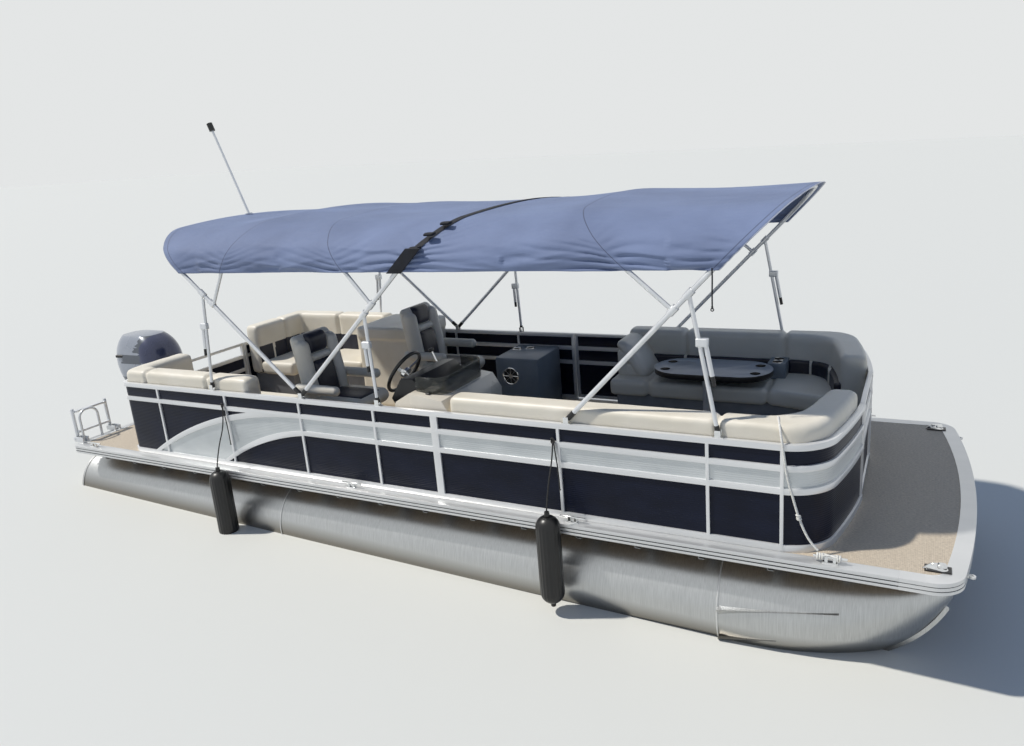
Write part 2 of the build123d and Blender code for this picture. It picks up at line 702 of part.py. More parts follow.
def plan_area(corners, side, rounded, radius):
    # An upright column over a plan outline; the numbered corners are rounded
    outline = make_face(Polyline(*[(x, side * y) for x, y in corners], close=True))
    chosen = [outline.vertices().sort_by_distance((corners[n][0], side * corners[n][1], 0))[0] for n in rounded]
    if chosen:
        outline = fillet(chosen, radius)
    return slab(outline, DECK_TOP - 10, DECK_TOP + 1000)


def lounge(area, front_area, back_top, corner=None):
    # A base, a seat and a back, all cut from the same area inside the fence
    back_inner = BACK_OUTER + BACK_THICK
    base = slab(fence_face(BACK_OUTER), DECK_TOP, SEAT_BASE_TOP) & front_area
    seat = slab(fence_face(back_inner + BACK_TO_SEAT, corner), SEAT_BASE_TOP, SEAT_TOP) & area
    back = slab(fence_face(BACK_OUTER) - fence_face(back_inner, corner), SEAT_BASE_TOP, back_top) & area
    return base, seat, back


def bow_area(side, aft_x, kick):
    front, end = LOUNGE_FRONT_Y + kick, BOW_SEAT_END_Y + kick
    past = FENCE_BOW_X + 170
    corners = ((aft_x + kick, front), (BOW_RETURN_X, front), (BOW_RETURN_X + BOW_CURVE, end), (past, end),
               (past, SEAT_REACH_Y), (aft_x + kick, SEAT_REACH_Y))
    return plan_area(corners, side, (1, 2), 300)


def starboard_aft_area(kick):
    x, y = STARBOARD_AFT_LOUNGE_X - kick, AFT_LOUNGE_FRONT_Y + kick
    past = FENCE_STERN_X - 150
    return plan_area(((past, y), (x, y), (x, SEAT_REACH_Y), (past, SEAT_REACH_Y)), -1, (), 0)


def port_aft_area(kick):
    x, y = AFT_RETURN_X - kick, AFT_LOUNGE_FRONT_Y + kick
    end = AFT_RETURN_Y + kick
    past = FENCE_STERN_X - 150
    corners = ((past, end), (x, end), (x, y), (PORT_AFT_LOUNGE_X, y), (PORT_AFT_LOUNGE_X, SEAT_REACH_Y),
               (past, SEAT_REACH_Y))
    return plan_area(corners, 1, (2,), 120)


def bow_bolsters(area):
    # A dark roll along the foot of the backs
    outer = BACK_OUTER + BACK_THICK + FIT
    roll = fence_face(outer, INNER_CORNER) - fence_face(outer + BOLSTER_DEPTH, INNER_CORNER - BOLSTER_DEPTH)
    gap = block((CUP_CONSOLE_X[0] - 2, CUP_CONSOLE_X[1] + 2), (0, SEAT_REACH_Y), (0, 2000))
    return (slab(roll, SEAT_TOP + FIT, SEAT_TOP + BOLSTER_HEIGHT) & area) - gap


def cup_console():
    shape = block(CUP_CONSOLE_X, CUP_CONSOLE_Y, (SEAT_TOP + FIT, CUP_CONSOLE_TOP))
    x = sum(CUP_CONSOLE_X) / 2
    for y in (CUP_CONSOLE_Y[0] + 60, CUP_CONSOLE_Y[1] - 60):
        shape -= Pos(x, y, CUP_CONSOLE_TOP - CUP_DEPTH / 2) * Cylinder(CUP_RADIUS, CUP_DEPTH)
    return shape


def bow_table():
    ends = TABLE_WIDTH / 2
    outline = Rectangle(TABLE_LENGTH - TABLE_WIDTH, TABLE_WIDTH)
    for hand in SIDES:
        outline += Pos(hand * (TABLE_LENGTH - TABLE_WIDTH) / 2, 0) * Circle(ends)
    top = slab(Pos(TABLE_X, TABLE_Y) * outline, TABLE_TOP - TABLE_THICK, TABLE_TOP)
    for x, y in CUPS:
        top -= Pos(TABLE_X + x, TABLE_Y + y, TABLE_TOP - CUP_DEPTH / 2) * Cylinder(CUP_RADIUS, CUP_DEPTH)
    column = rod((TABLE_X, TABLE_POST_Y, DECK_TOP), (TABLE_X, TABLE_POST_Y, TABLE_TOP - TABLE_THICK + 1),
                 TABLE_POST_RADIUS)
    foot = rod((TABLE_X, TABLE_POST_Y, DECK_TOP), (TABLE_X, TABLE_POST_Y, DECK_TOP + 14), 95)
    return top + column + foot


# Helm and chairs

def above_deck(points):
    return [(x, DECK_TOP + up) for x, up in points]


def wheel_axis():
    tilt = math.radians(WHEEL_TILT)
    return Vector(-math.cos(tilt), 0, math.sin(tilt))


def wheel_plane():
    return Plane(origin=WHEEL_CENTRE, x_dir=(0, 1, 0), z_dir=wheel_axis())


def wheel_bore():
    return wheel_plane() * Pos(0, 0, -WHEEL_SHAFT_LENGTH) * Cylinder(
        WHEEL_SHAFT_RADIUS + RUNNING, WHEEL_SHAFT_LENGTH + 40)


def helm_console():
    dash = side_profile(above_deck(DASH_PROFILE), DASH_Y)
    return side_profile(above_deck(CONSOLE_PROFILE), CONSOLE_Y) - dash - wheel_bore()


def helm_dash():
    # The dark panel that the wheel stands on, let into the console's slope
    return side_profile(above_deck(DASH_PROFILE), DASH_Y) - wheel_bore()


def windscreen():
    # A low smoked screen that wraps round the front of the dash
    length, width = SCREEN_SIZE
    thick = 2 * SCREEN_THICK
    ring = RectangleRounded(length, width, 120) - RectangleRounded(length - thick, width - thick, 120 - SCREEN_THICK)
    screen = slab(Pos(SCREEN_X, sum(CONSOLE_Y) / 2 + 20) * ring, DECK_TOP + 700, DECK_TOP + 900)
    return screen & side_profile(above_deck(SCREEN_PROFILE), CONSOLE_Y)


def steering_wheel():
    rim = Torus(WHEEL_RADIUS, WHEEL_RIM_RADIUS)
    hub = Pos(0, 0, -18) * Cylinder(48, 26)
    shaft = Pos(0, 0, -18 - WHEEL_SHAFT_LENGTH / 2) * Cylinder(WHEEL_SHAFT_RADIUS, WHEEL_SHAFT_LENGTH)
    wheel = rim + hub + shaft
    for turn in (90, 210, 330):
        spoke = Pos(WHEEL_RADIUS / 2, 0, -8) * Box(WHEEL_RADIUS, 26, 7)
        wheel += Rot(0, 0, turn) * spoke
    return wheel_plane() * wheel


def port_console():
    return block(PORT_CONSOLE_X, PORT_CONSOLE_Y, (DECK_TOP, PORT_CONSOLE_TOP))


def storage_box():
    body = block(STORAGE_X, STORAGE_Y, (DECK_TOP, STORAGE_TOP - STORAGE_LID))
    lid = block((STORAGE_X[0], STORAGE_X[1] + 20), (STORAGE_Y[0] - 20, STORAGE_Y[1]),
                (STORAGE_TOP - STORAGE_LID, STORAGE_TOP))
    return fillet((body + lid).edges().filter_by(Axis.Z), 18)


def pedestal(place):
    column = rod((*place, DECK_TOP), (*place, PEDESTAL_TOP), PEDESTAL_RADIUS)
    foot = rod((*place, DECK_TOP), (*place, DECK_TOP + 16), PEDESTAL_FOOT_RADIUS)
    pin = rod((*place, PEDESTAL_TOP), (*place, PEDESTAL_TOP + CHAIR_PIN_LENGTH), CHAIR_PIN_RADIUS)
    return column + foot + pin


def chair_seat(place):
    low = PEDESTAL_TOP + 1
    hub = block((-150, 150), (-150, 150), (low, low + 40))
    half = CHAIR_WIDTH / 2
    pan = side_profile(((-230, low + 40), (-230, low + 140), (190, low + 160), (270, low + 130), (270, low + 40)),
                       (-half, half))
    bore = Pos(0, 0, low) * Cylinder(CHAIR_PIN_RADIUS + RUNNING, 2 * CHAIR_PIN_LENGTH + 8)
    return Pos(*place, 0) * (hub + pan - bore)


def chair_back(place):
    low = PEDESTAL_TOP + 1
    half = CHAIR_WIDTH / 2
    points = ((-232, low + 60), (-150, low + 165), (-205, low + 400), (-265, CHAIR_BACK_TOP - 30),
              (-300, CHAIR_BACK_TOP), (-350, CHAIR_BACK_TOP - 25), (-335, low + 300), (-300, low + 60))
    shell = side_profile(points, (-half, half)) - block((-230.2, 300), (-400, 400), (low, low + 164))
    arms = []
    for hand in SIDES:
        y_range = (half, half + ARM_WIDTH) if hand > 0 else (-half - ARM_WIDTH, -half)
        arms.append(side_profile(((-320, low + 215), (130, low + 235), (150, low + 290), (-320, low + 290)), y_range))
    for arm in arms:
        shell += arm
    return Pos(*place, 0) * shell


# Folding tops

def bow_line(bow):
    # Where a bow starts, its direction and its length to the crown, in the side view
    start_x, start_z, edge_x, edge_z, crown_z = bow
    run, climb = edge_x - start_x, edge_z - start_z
    length = math.hypot(run, climb)
    direction = Vector(run / length, 0, climb / length)
    return Vector(start_x, 0, start_z), direction, (crown_z - start_z) / direction.Z


def bow_point(bow, height):
    start, direction, _ = bow_line(bow)
    return start + direction * ((height - start.Z) / direction.Z)


def bow_plane(bow):
    # First coordinate to port, second up along the bow
    start, direction, _ = bow_line(bow)
    across_boat = Vector(0, 1, 0)
    return Plane(origin=start, x_dir=across_boat, z_dir=across_boat.cross(direction))


def arch_half(half_width, crown, wide, deep, lean=1):
    # Side, corner and crown of half an arch, up one side, and the radii of its two corner bends.
    # An arch that leans in its plane has its heights stretched, so that seen level it stays the same
    slope = TOP_CAMBER / TOP_HALF_WIDTH / lean
    top = crown / lean
    shoulder = top - slope * half_width
    inner, outer = 2 - math.sqrt(2), math.sqrt(2) - 1
    low = Vector(half_width, shoulder - inner * deep / lean)
    high = Vector(half_width - inner * wide, shoulder + slope * inner * wide)
    across = (high - low).normalized()
    first = math.acos(across.Y)
    second = math.acos(across.dot(Vector(-1, slope).normalized()))
    radii = (outer * deep / lean / math.tan(first / 2),
             outer * wide * math.hypot(1, slope) / math.tan(second / 2))
    return low, high, top, radii


def hoop(bow, radius, cut=0):
    plane = bow_plane(bow)
    start, direction, _ = bow_line(bow)
    low, high, top, radii = arch_half(TOP_HALF_WIDTH, bow[4] - start.Z, TOP_CORNER_WIDE, TOP_CORNER_DEEP,
                                      direction.Z)
    half = [(TOP_HALF_WIDTH, cut), (low.X, low.Y), (high.X, high.Y)]
    flat = [(-u, v) for u, v in half] + [(0, top)] + half[::-1]
    points = [plane.from_local_coords((u, v, 0)) for u, v in flat]
    return tube_run(points, [*radii, TOP_CROWN_RADIUS * direction.Z, *radii[::-1]], radius)


def sleeve(bow, height, side, bore=False):
    middle = bow_point(bow, height)
    direction = bow_line(bow)[1]
    half = direction * (SLEEVE_LENGTH / 2)
    shift = Vector(0, side * TOP_HALF_WIDTH, 0)
    start, end = middle - half + shift, middle + half + shift
    if bore:
        start, end = start - half, end + half
        return rod(start, end, BOW_TUBE + FIT)
    return rod(start, end, SLEEVE_RADIUS)


def second_bow(bow, carrier):
    # A bow whose legs end in jaws on the bow that carries it
    shape = hoop((*bow[:4], bow[4] - SECOND_BOW_DROP), BOW_TUBE - 2)
    for side in SIDES:
        shape += sleeve(carrier, bow[1], side)
        shape -= sleeve(carrier, bow[1], side, bore=True)
    return shape


def brace(foot_x, carrier, height, side):
    # A rigid strut from the rail to the bow, with its adjusting slider
    top = bow_point(carrier, height)
    y = side * TOP_HALF_WIDTH
    start, end = Vector(foot_x, y, TOP_FOOT_Z), Vector(top.X, y, height)
    along = (end - start).normalized()
    strut = rod(start, end, BRACE_TUBE)
    strut += sleeve(carrier, height, side)
    strut -= sleeve(carrier, height, side, bore=True)
    middle = start + (end - start) * 0.62
    shift = Vector(0, -side * 26, 0)
    low, high = middle - along * (SLIDER_LENGTH / 2) + shift, middle + along * (SLIDER_LENGTH / 2) + shift
    strut += rod(low, high, BRACE_TUBE)
    return strut + rod((middle + shift * 0.5 - along * 20), (middle + shift * 0.5 + along * 20), 16)


def top_foot(x, side, radius):
    # A forked bracket on the top rail
    y = side * TOP_HALF_WIDTH
    gap = radius + FIT
    plate = block((x - 34, x + 34), (y - gap - 5, y + gap + 5), (FENCE_TOP, FENCE_TOP + 5))
    for hand in SIDES:
        low = min(y + hand * gap, y + hand * (gap + 5))
        plate += block((x - 18, x + 18), (low, low + 5), (FENCE_TOP, FENCE_TOP + 46))
    return plate


def canopy_section(x, crown, grow):
    past = BOW_TUBE + CANOPY_GAP + grow
    half = TOP_HALF_WIDTH + past
    eased = past - CLOTH_EASE
    low, high, top, radii = arch_half(half, crown + past, TOP_CORNER_WIDE + eased, TOP_CORNER_DEEP + eased)
    right = [(half, CANOPY_LOW_Z), (low.X, low.Y), (high.X, high.Y)]
    points = [(-y, z) for y, z in right] + [(0, top)] + right[::-1]
    face = make_face(Polyline(*points, close=True))
    for (y, z), radius in ((right[1], radii[0]), (right[2], radii[1])):
        corners = [face.vertices().sort_by_distance((hand * y, z, 0))[0] for hand in SIDES]
        face = fillet(corners, radius)
    face = fillet(face.vertices().sort_by_distance((0, top, 0))[0], TOP_CROWN_RADIUS)
    return Plane(origin=(x, 0, 0), x_dir=(0, 1, 0), z_dir=(1, 0, 0)) * face


def cloth_layer(grow):
    # An arch over all the bows, straight from one crown to the next
    bows = (REAR_AFT_BOW, *REAR_SECOND_BOWS, REAR_FORE_BOW, FRONT_SECOND_BOW, FRONT_MAIN_BOW)
    crowns = sorted((bow_point(bow, bow[4]).X, bow[4]) for bow in bows)
    crowns = [(crowns[0][0] - 200, crowns[0][1])] + crowns + [(crowns[-1][0] + 200, crowns[-1][1])]
    return loft([canopy_section(x, crown, grow) for x, crown in crowns], ruled=True)


def between_bows(aft_bow, fore_bow, aft_shift, fore_shift):
    low, high = CANOPY_LOW_Z - 100, 2800
    corners = []
    for bow, height, shift in ((aft_bow, low, aft_shift), (aft_bow, high, aft_shift),
                               (fore_bow, high, fore_shift), (fore_bow, low, fore_shift)):
        corners.append((bow_point(bow, height).X + shift, height))
    reach = TOP_HALF_WIDTH + 220
    return side_profile(corners, (-reach, reach))


def light_pole():
    foot, top = Vector(*POLE_FOOT), Vector(*POLE_TOP)
    lean = (top - foot).normalized()
    pole = rod(foot, top, POLE_RADIUS) + Pos(*POLE_FOOT) * Cylinder(34, 10)
    pole += rod(top, (top + lean * 75), 27)
    return pole


# Outboard

def outboard_clamp():
    # Two side plates over the transom, joined by the tilt tube
    plates = []
    for hand in SIDES:
        y = (100, 122) if hand > 0 else (-122, -100)
        aft, fore, top = TRANSOM_X - FIT, TRANSOM_X + TRANSOM_THICK + FIT, TRANSOM_TOP + FIT
        points = ((aft, 150), (aft, top), (fore, top), (fore, top - 120), (fore + 16, top - 120),
                  (fore + 16, top + 30), (TILT_X - 20, top + 30), (TILT_X - 35, TILT_Z - 20), (aft - 46, 150))
        plates.append(side_profile(points, y))
    pin = rod((TILT_X, -122, TILT_Z), (TILT_X, 122, TILT_Z), TILT_PIN_RADIUS)
    whole = pin
    for plate in plates:
        whole += plate
    return whole


def swivel_axis_rod(radius, low, high):
    return rod((SWIVEL_X, 0, low), (SWIVEL_X, 0, high), radius)


def outboard_swivel():
    # Carries the steering pin behind the tilt tube
    eye = rod((TILT_X, -97, TILT_Z), (TILT_X, 97, TILT_Z), 32)
    column = swivel_axis_rod(42, 190, 560)
    web = block((SWIVEL_X, TILT_X), (-60, 60), (TILT_Z - 60, TILT_Z + 45))
    shape = eye + column + web
    shape -= rod((TILT_X, -98, TILT_Z), (TILT_X, 98, TILT_Z), TILT_PIN_RADIUS + RUNNING)
    return shape - swivel_axis_rod(STEER_PIN_RADIUS + RUNNING, 100, 600)


def leg_section(z, centre_x, length, width):
    # A streamlined section of the leg: rounded ends joined by straight sides
    shape = Rectangle(length - width, width)
    for hand in SIDES:
        shape += Pos(hand * (length - width) / 2, 0) * Circle(width / 2)
    return Pos(centre_x, 0, z) * shape


def outboard_midsection():
    # Leg, anti-ventilation plate, gearcase and skeg, with the steering pin in front
    length, width = COWL_SIZE
    leg = loft([Pos(LEG_X - 80, 0, COWL_BOTTOM - FIT) * RectangleRounded(length, width, width * 0.42),
                Pos(LEG_X - 65, 0, COWL_BOTTOM - PAN_DEPTH) * RectangleRounded(430, 290, 120)], ruled=True)
    leg += loft([leg_section(COWL_BOTTOM - PAN_DEPTH, LEG_X - 65, 430, 290), leg_section(560, LEG_X - 55, 300, 190)],
                ruled=True)
    leg += loft([leg_section(560, LEG_X - 55, 300, 190), leg_section(PLATE_Z, LEG_X - 60, 250, 110)], ruled=True)
    leg += slab(Pos(LEG_X - 90, 0) * RectangleRounded(470, 230, 80), PLATE_Z, PLATE_Z + 12)
    leg += extrude(leg_section(PROP_Z, LEG_X - 60, 250, 70), PLATE_Z - PROP_Z)
    case_start, case_end = LEG_X + 90, PROP_X + PROP_HUB_LENGTH / 2 + 6
    leg += rod((case_start, 0, PROP_Z), (case_end, 0, PROP_Z), PROP_HUB + 8)
    leg += Pos(case_start, 0, PROP_Z) * Sphere(PROP_HUB + 8)
    skeg = ((LEG_X - 10, PROP_Z - 20), (LEG_X - 110, PROP_Z - 205), (LEG_X - 185, PROP_Z - 205),
            (LEG_X - 212, PROP_Z - 20))
    leg += side_profile(skeg, (-7, 7))
    leg -= swivel_axis_rod(50, 150, 575)
    pin = swivel_axis_rod(STEER_PIN_RADIUS, 100, 640)
    yokes = block((LEG_X - 20, SWIVEL_X + 25), (-45, 45), (576, 640))
    yokes += block((LEG_X - 20, SWIVEL_X + 25), (-40, 40), (110, 180))
    shaft = rod((case_end + 10, 0, PROP_Z), (PROP_X - PROP_HUB_LENGTH / 2 - 20, 0, PROP_Z), PROP_SHAFT_RADIUS)
    return leg + pin + yokes + shaft


def cowl_loft(inset):
    rows = (
        (COWL_BOTTOM, LEG_X - 80, *COWL_SIZE),
        (COWL_BOTTOM + 170, LEG_X - 90, 730, 480),
        (COWL_TOP - 160, LEG_X - 100, 700, 460),
        (COWL_TOP - inset, LEG_X - 130, 470, 300),
    )
    sections = []
    for z, x, length, width in rows:
        outline = RectangleRounded(length - 2 * inset, width - 2 * inset, min(length, width) * 0.42 - inset)
        sections.append(Pos(x, 0, z) * outline)
    return loft(sections)


def outboard_cowl():
    return cowl_loft(0) - powerhead_space(12)


def powerhead_space(clearance):
    aft, fore = POWERHEAD_X
    half = POWERHEAD_HALF_WIDTH + clearance
    return block((aft - clearance, fore + clearance), (-half, half), (COWL_BOTTOM - 1, POWERHEAD_TOP + clearance))


def outboard_powerhead():
    return block(POWERHEAD_X, (-POWERHEAD_HALF_WIDTH, POWERHEAD_HALF_WIDTH), (COWL_BOTTOM, POWERHEAD_TOP))


def propeller():
    hub = rod((PROP_X + PROP_HUB_LENGTH / 2, 0, PROP_Z), (PROP_X - PROP_HUB_LENGTH / 2, 0, PROP_Z), PROP_HUB)
    whole = hub
    for number in range(PROP_BLADES):
        petal = Pos(0, PROP_RADIUS - 78) * Ellipse(62, 78)
        petal = extrude(petal + Pos(0, 55) * Rectangle(56, 60), 7)
        blade = Rot(0, 90 + PROP_PITCH, 0) * petal
        whole += Pos(PROP_X, 0, PROP_Z) * Rot(360 / PROP_BLADES * number, 0, 0) * blade
    return whole - rod((PROP_X - 200, 0, PROP_Z), (PROP_X + 200, 0, PROP_Z), PROP_SHAFT_RADIUS + RUNNING)


# Ladder

def ladder_rails_y():
    return [LADDER_Y + hand * LADDER_WIDTH / 2 for hand in SIDES]


def boarding_ladder():
    shape = None
    for y in ladder_rails_y():
        rail = rod((LADDER_X, y, LADDER_HINGE_Z - 18), (LADDER_X, y, LADDER_TOP), LADDER_RAIL)
        shape = rail if shape is None else shape + rail
    for z in (LADDER_HINGE_Z + 60, LADDER_TOP - 30):
        shape += block((LADDER_X - 14, LADDER_X + 30), tuple(ladder_rails_y()), (z - 9, z + 9))
    bore = rod((LADDER_X, LADDER_Y - 400, LADDER_HINGE_Z), (LADDER_X, LADDER_Y + 400, LADDER_HINGE_Z),
               LADDER_PIN + RUNNING)
    return shape - bore


def ladder_bracket():
    # Ears on the deck's edge carry the ladder's pin, and a hand hoop stands beside it
    shapes = []
    for y in ladder_rails_y():
        pin = rod((LADDER_X, y - 40, LADDER_HINGE_Z), (LADDER_X, y + 40, LADDER_HINGE_Z), LADDER_PIN)
        ears = pin
        for hand in SIDES:
            low = y + hand * 27 - 6
            ears += block((LADDER_X - 16, DECK_STERN_X + 70), (low, low + 12),
                          (DECK_TOP + TRIM_LIP, LADDER_HINGE_Z + 18))
        shapes.append(ears)
    return shapes


def grab_hoop():
    x = DECK_STERN_X + 26
    low, high = DECK_TOP + TRIM_LIP, LADDER_TOP - 20
    aft, fore = HOOP_Y
    points = [(x, aft, low), (x, aft, high), (x, fore, high), (x, fore, low)]
    return tube_run(points, [HOOP_CORNER, HOOP_CORNER], 12)


# Fenders and lines

def fender(x, middle_z):
    y = -DECK_HALF_WIDTH - FENDER_GAP - FENDER_RADIUS
    half = FENDER_LENGTH / 2
    body = Pos(x, y, middle_z) * Cylinder(FENDER_RADIUS, FENDER_LENGTH)
    for hand in SIDES:
        cap = Pos(x, y, middle_z + hand * half) * Sphere(FENDER_RADIUS)
        body += cap
        low = middle_z + hand * (half + FENDER_RADIUS - 6)
        body += Pos(x, y, low + hand * 18) * Cylinder(20, 40)
    return body


def fender_line(x, middle_z):
    # From the fender's neck up over the mid rail
    y = -DECK_HALF_WIDTH - FENDER_GAP - FENDER_RADIUS
    start_z = middle_z + FENDER_LENGTH / 2 + FENDER_RADIUS + 33.7
    rail_z = FENCE_TOP - UPPER_RAIL[0] + 14
    fence_y = -FENCE_HALF_WIDTH - LINE_RADIUS - 4
    points = [(x, y, start_z), (x, y + 40, start_z + 140), (x, fence_y - 12, start_z + 330), (x, fence_y, rail_z)]
    return tube_run(points, [60, 60], LINE_RADIUS)


def dock_line():
    return tube_run([tuple(point) for point in BOW_LINE], BOW_LINE_BENDS, DOCK_LINE_RADIUS)


def canopy_boot():
    # A strap over the seam where the two canopies meet
    grow = CANOPY_THICK + CANOPY_GAP
    half = BOOT_WIDTH / 2
    strap = cloth_layer(grow + BOOT_THICK) - cloth_layer(grow)
    return strap & between_bows(REAR_FORE_BOW, REAR_FORE_BOW, -half, half)


def main():
    os.makedirs("parts", exist_ok=True)
    save("pontoon_starboard", pontoon(-1))
    save("pontoon_port", pontoon(1))
    save("cross_members", *cross_members())
    save("motor_pod", motor_pod())
    save("deck_board", deck_board())
    save("floor_covering", floor_covering())
    side_trim, nosing = split_trim(edge_trim())
    save("deck_edge_trim", side_trim)
    for side in SIDES:
        nosing += bow_eye(side)
    save("bow_nosing", nosing)
    save("deck_cleats", *[cleat(x, side) for x in CLEATS_X for side in SIDES])
    save("bow_lights", *[bow_light(side) for side in SIDES])

    frame, navy, silver = fence()
    names = ("fence_frame_starboard", "fence_frame_port_bow", "fence_frame_port_aft")
    carried = (("bow_gate",), ("side_gate",), ("stern_gate",))
    gates = {name: (hinge, turn, width) for name, hinge, turn, width in gate_table()}
    for name, area, hung in zip(names, fence_zones(), carried):
        run = frame & area
        for gate_name in hung:
            hinge, turn, _ = gates[gate_name]
            for half in gate_hinges(hinge, turn):
                run += half
        save(name, run)
    save("navy_panels", navy)
    save("silver_panels", silver)
    for name, (hinge, turn, width) in gates.items():
        save(name, gate_place(hinge, turn) * gate(width))

    starboard_bow = lounge(bow_area(-1, STARBOARD_BOW_LOUNGE_X, 0), bow_area(-1, STARBOARD_BOW_LOUNGE_X, TOE_KICK),
                           BACK_TOP, INNER_CORNER)
    port_bow = lounge(bow_area(1, PORT_BOW_LOUNGE_X, 0), bow_area(1, PORT_BOW_LOUNGE_X, TOE_KICK),
                      BACK_TOP, INNER_CORNER)
    starboard_aft = lounge(starboard_aft_area(0), starboard_aft_area(TOE_KICK), BACK_TOP)
    port_aft = lounge(port_aft_area(0), port_aft_area(TOE_KICK), PORT_AFT_BACK_TOP)
    for index, kind in enumerate(("bases", "seats", "backs")):
        save("bow_lounge_" + kind, starboard_bow[index], port_bow[index])
        save("aft_lounge_" + kind, starboard_aft[index], port_aft[index])
    save("bow_bolsters", bow_bolsters(bow_area(-1, STARBOARD_BOW_LOUNGE_X, 0)),
         bow_bolsters(bow_area(1, PORT_BOW_LOUNGE_X, 0)))
    save("cup_console", cup_console())
    save("bow_table", bow_table())
    save("storage_box", storage_box())

    save("helm_console", helm_console())
    save("helm_dash", helm_dash())
    save("windscreen", windscreen())
    save("steering_wheel", steering_wheel())
    save("port_console", port_console())
    save("chair_pedestals", pedestal(HELM_CHAIR), pedestal(PASSENGER_CHAIR))
    save("helm_chair_seat", chair_seat(HELM_CHAIR))
    save("helm_chair_back", chair_back(HELM_CHAIR))
    save("passenger_chair_seat", chair_seat(PASSENGER_CHAIR))
    save("passenger_chair_back", chair_back(PASSENGER_CHAIR))

    save("top_main_bows", hoop(FRONT_MAIN_BOW, BOW_TUBE), hoop(REAR_FORE_BOW, BOW_TUBE),
         hoop(REAR_AFT_BOW, BOW_TUBE, cut=45))
    save("top_second_bows", second_bow(FRONT_SECOND_BOW, FRONT_MAIN_BOW),
         second_bow(REAR_SECOND_BOWS[0], REAR_AFT_BOW), second_bow(REAR_SECOND_BOWS[1], REAR_FORE_BOW))
    save("top_braces", *[brace(*row, side) for row in BRACES for side in SIDES])
    feet = [(REAR_FOOT_X, BOW_TUBE), (FRONT_FOOT_X, BOW_TUBE)] + [(row[0], BRACE_TUBE) for row in BRACES]
    save("top_feet", *[top_foot(x, side, radius) for x, radius in feet for side in SIDES])
    cloth = cloth_layer(CANOPY_THICK) - cloth_layer(0)
    save("front_canopy", cloth & between_bows(REAR_FORE_BOW, FRONT_MAIN_BOW, SEAM_GAP, FRONT_HEM))
    save("rear_canopy", cloth & between_bows(REAR_AFT_BOW, REAR_FORE_BOW, -HEM, -SEAM_GAP))
    save("canopy_boot", canopy_boot())
    save("light_pole", light_pole())

    save("outboard_clamp", outboard_clamp())
    save("outboard_swivel", outboard_swivel())
    save("outboard_midsection", outboard_midsection())
    save("outboard_cowl", outboard_cowl())
    save("outboard_powerhead", outboard_powerhead())
    save("propeller", propeller())
    save("boarding_ladder", boarding_ladder())
    save("ladder_bracket", *ladder_bracket(), grab_hoop())
    save("fenders", *[fender(x, z) for x, z in zip(FENDERS_X, FENDER_MIDDLE_Z)])
    for name, x, z in zip(("fender_line_aft", "fender_line_forward"), FENDERS_X, FENDER_MIDDLE_Z):
        save(name, fender_line(x, z))
    save("bow_line", dock_line())


main()
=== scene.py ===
import bpy
import bmesh
import math
from mathutils import Matrix, Vector, noise
from mathutils.bvhtree import BVHTree
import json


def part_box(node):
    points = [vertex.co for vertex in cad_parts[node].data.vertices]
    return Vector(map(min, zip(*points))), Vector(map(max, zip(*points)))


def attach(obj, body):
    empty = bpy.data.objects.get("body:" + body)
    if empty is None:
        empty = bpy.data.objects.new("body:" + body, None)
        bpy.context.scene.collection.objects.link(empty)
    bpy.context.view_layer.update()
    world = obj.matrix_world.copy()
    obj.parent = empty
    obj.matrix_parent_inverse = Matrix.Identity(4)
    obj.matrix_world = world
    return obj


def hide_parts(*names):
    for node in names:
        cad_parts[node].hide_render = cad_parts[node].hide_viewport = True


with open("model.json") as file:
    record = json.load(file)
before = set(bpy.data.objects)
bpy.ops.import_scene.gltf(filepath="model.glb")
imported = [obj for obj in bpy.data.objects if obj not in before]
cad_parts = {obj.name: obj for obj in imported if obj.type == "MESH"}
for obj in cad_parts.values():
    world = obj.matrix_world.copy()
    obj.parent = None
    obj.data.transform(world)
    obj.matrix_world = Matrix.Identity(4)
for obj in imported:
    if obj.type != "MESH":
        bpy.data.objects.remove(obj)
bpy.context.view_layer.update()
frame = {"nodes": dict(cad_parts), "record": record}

# Pontoon boat afloat. Metres, +X to the bow, +Y to port, the water at z = 0 amidships.

trim = 0.034  # the stern sits lower, so the water climbs towards it by this much per metre
# a bow's line seen from the side: x and z at the cloth's edge, and how far it runs forward as it rises
bowLines = {
    "rearAft": (-1.928, 2.217, -1.1242), "rearSecondAft": (-1.500, 2.249, 0.5814),
    "rearSecondFore": (-0.260, 2.239, -0.8403), "rearFore": (0.198, 2.239, 1.0885),
    "frontSecond": (1.854, 2.243, -1.1245), "frontMain": (2.386, 2.268, 0.9800),
}


def alongBow(name, z):
    # where a bow stands along x at a height
    x, foot, slope = bowLines[name]
    return x + slope * (z - foot)


# Materials

def linearColour(hexCode):
    parts = [int(hexCode[i:i + 2], 16) / 255 for i in (1, 3, 5)]
    return [p / 12.92 if p <= 0.04045 else ((p + 0.055) / 1.055) ** 2.4 for p in parts] + [1.0]


def addNode(tree, kind, settings=None, links=None):
    # settings name the node's own values or its sockets; links lead into its sockets
    node = tree.nodes.new(kind)
    for key, value in (settings or {}).items():
        if isinstance(key, str) and hasattr(node, key):
            setattr(node, key, value)
        else:
            node.inputs[key].default_value = value
    for key, source in (links or {}).items():
        tree.links.new(source, node.inputs[key])
    return node


bandTurn = 0.3142  # a wave texture's bands stand this far apart, in metres, when its scale is 1


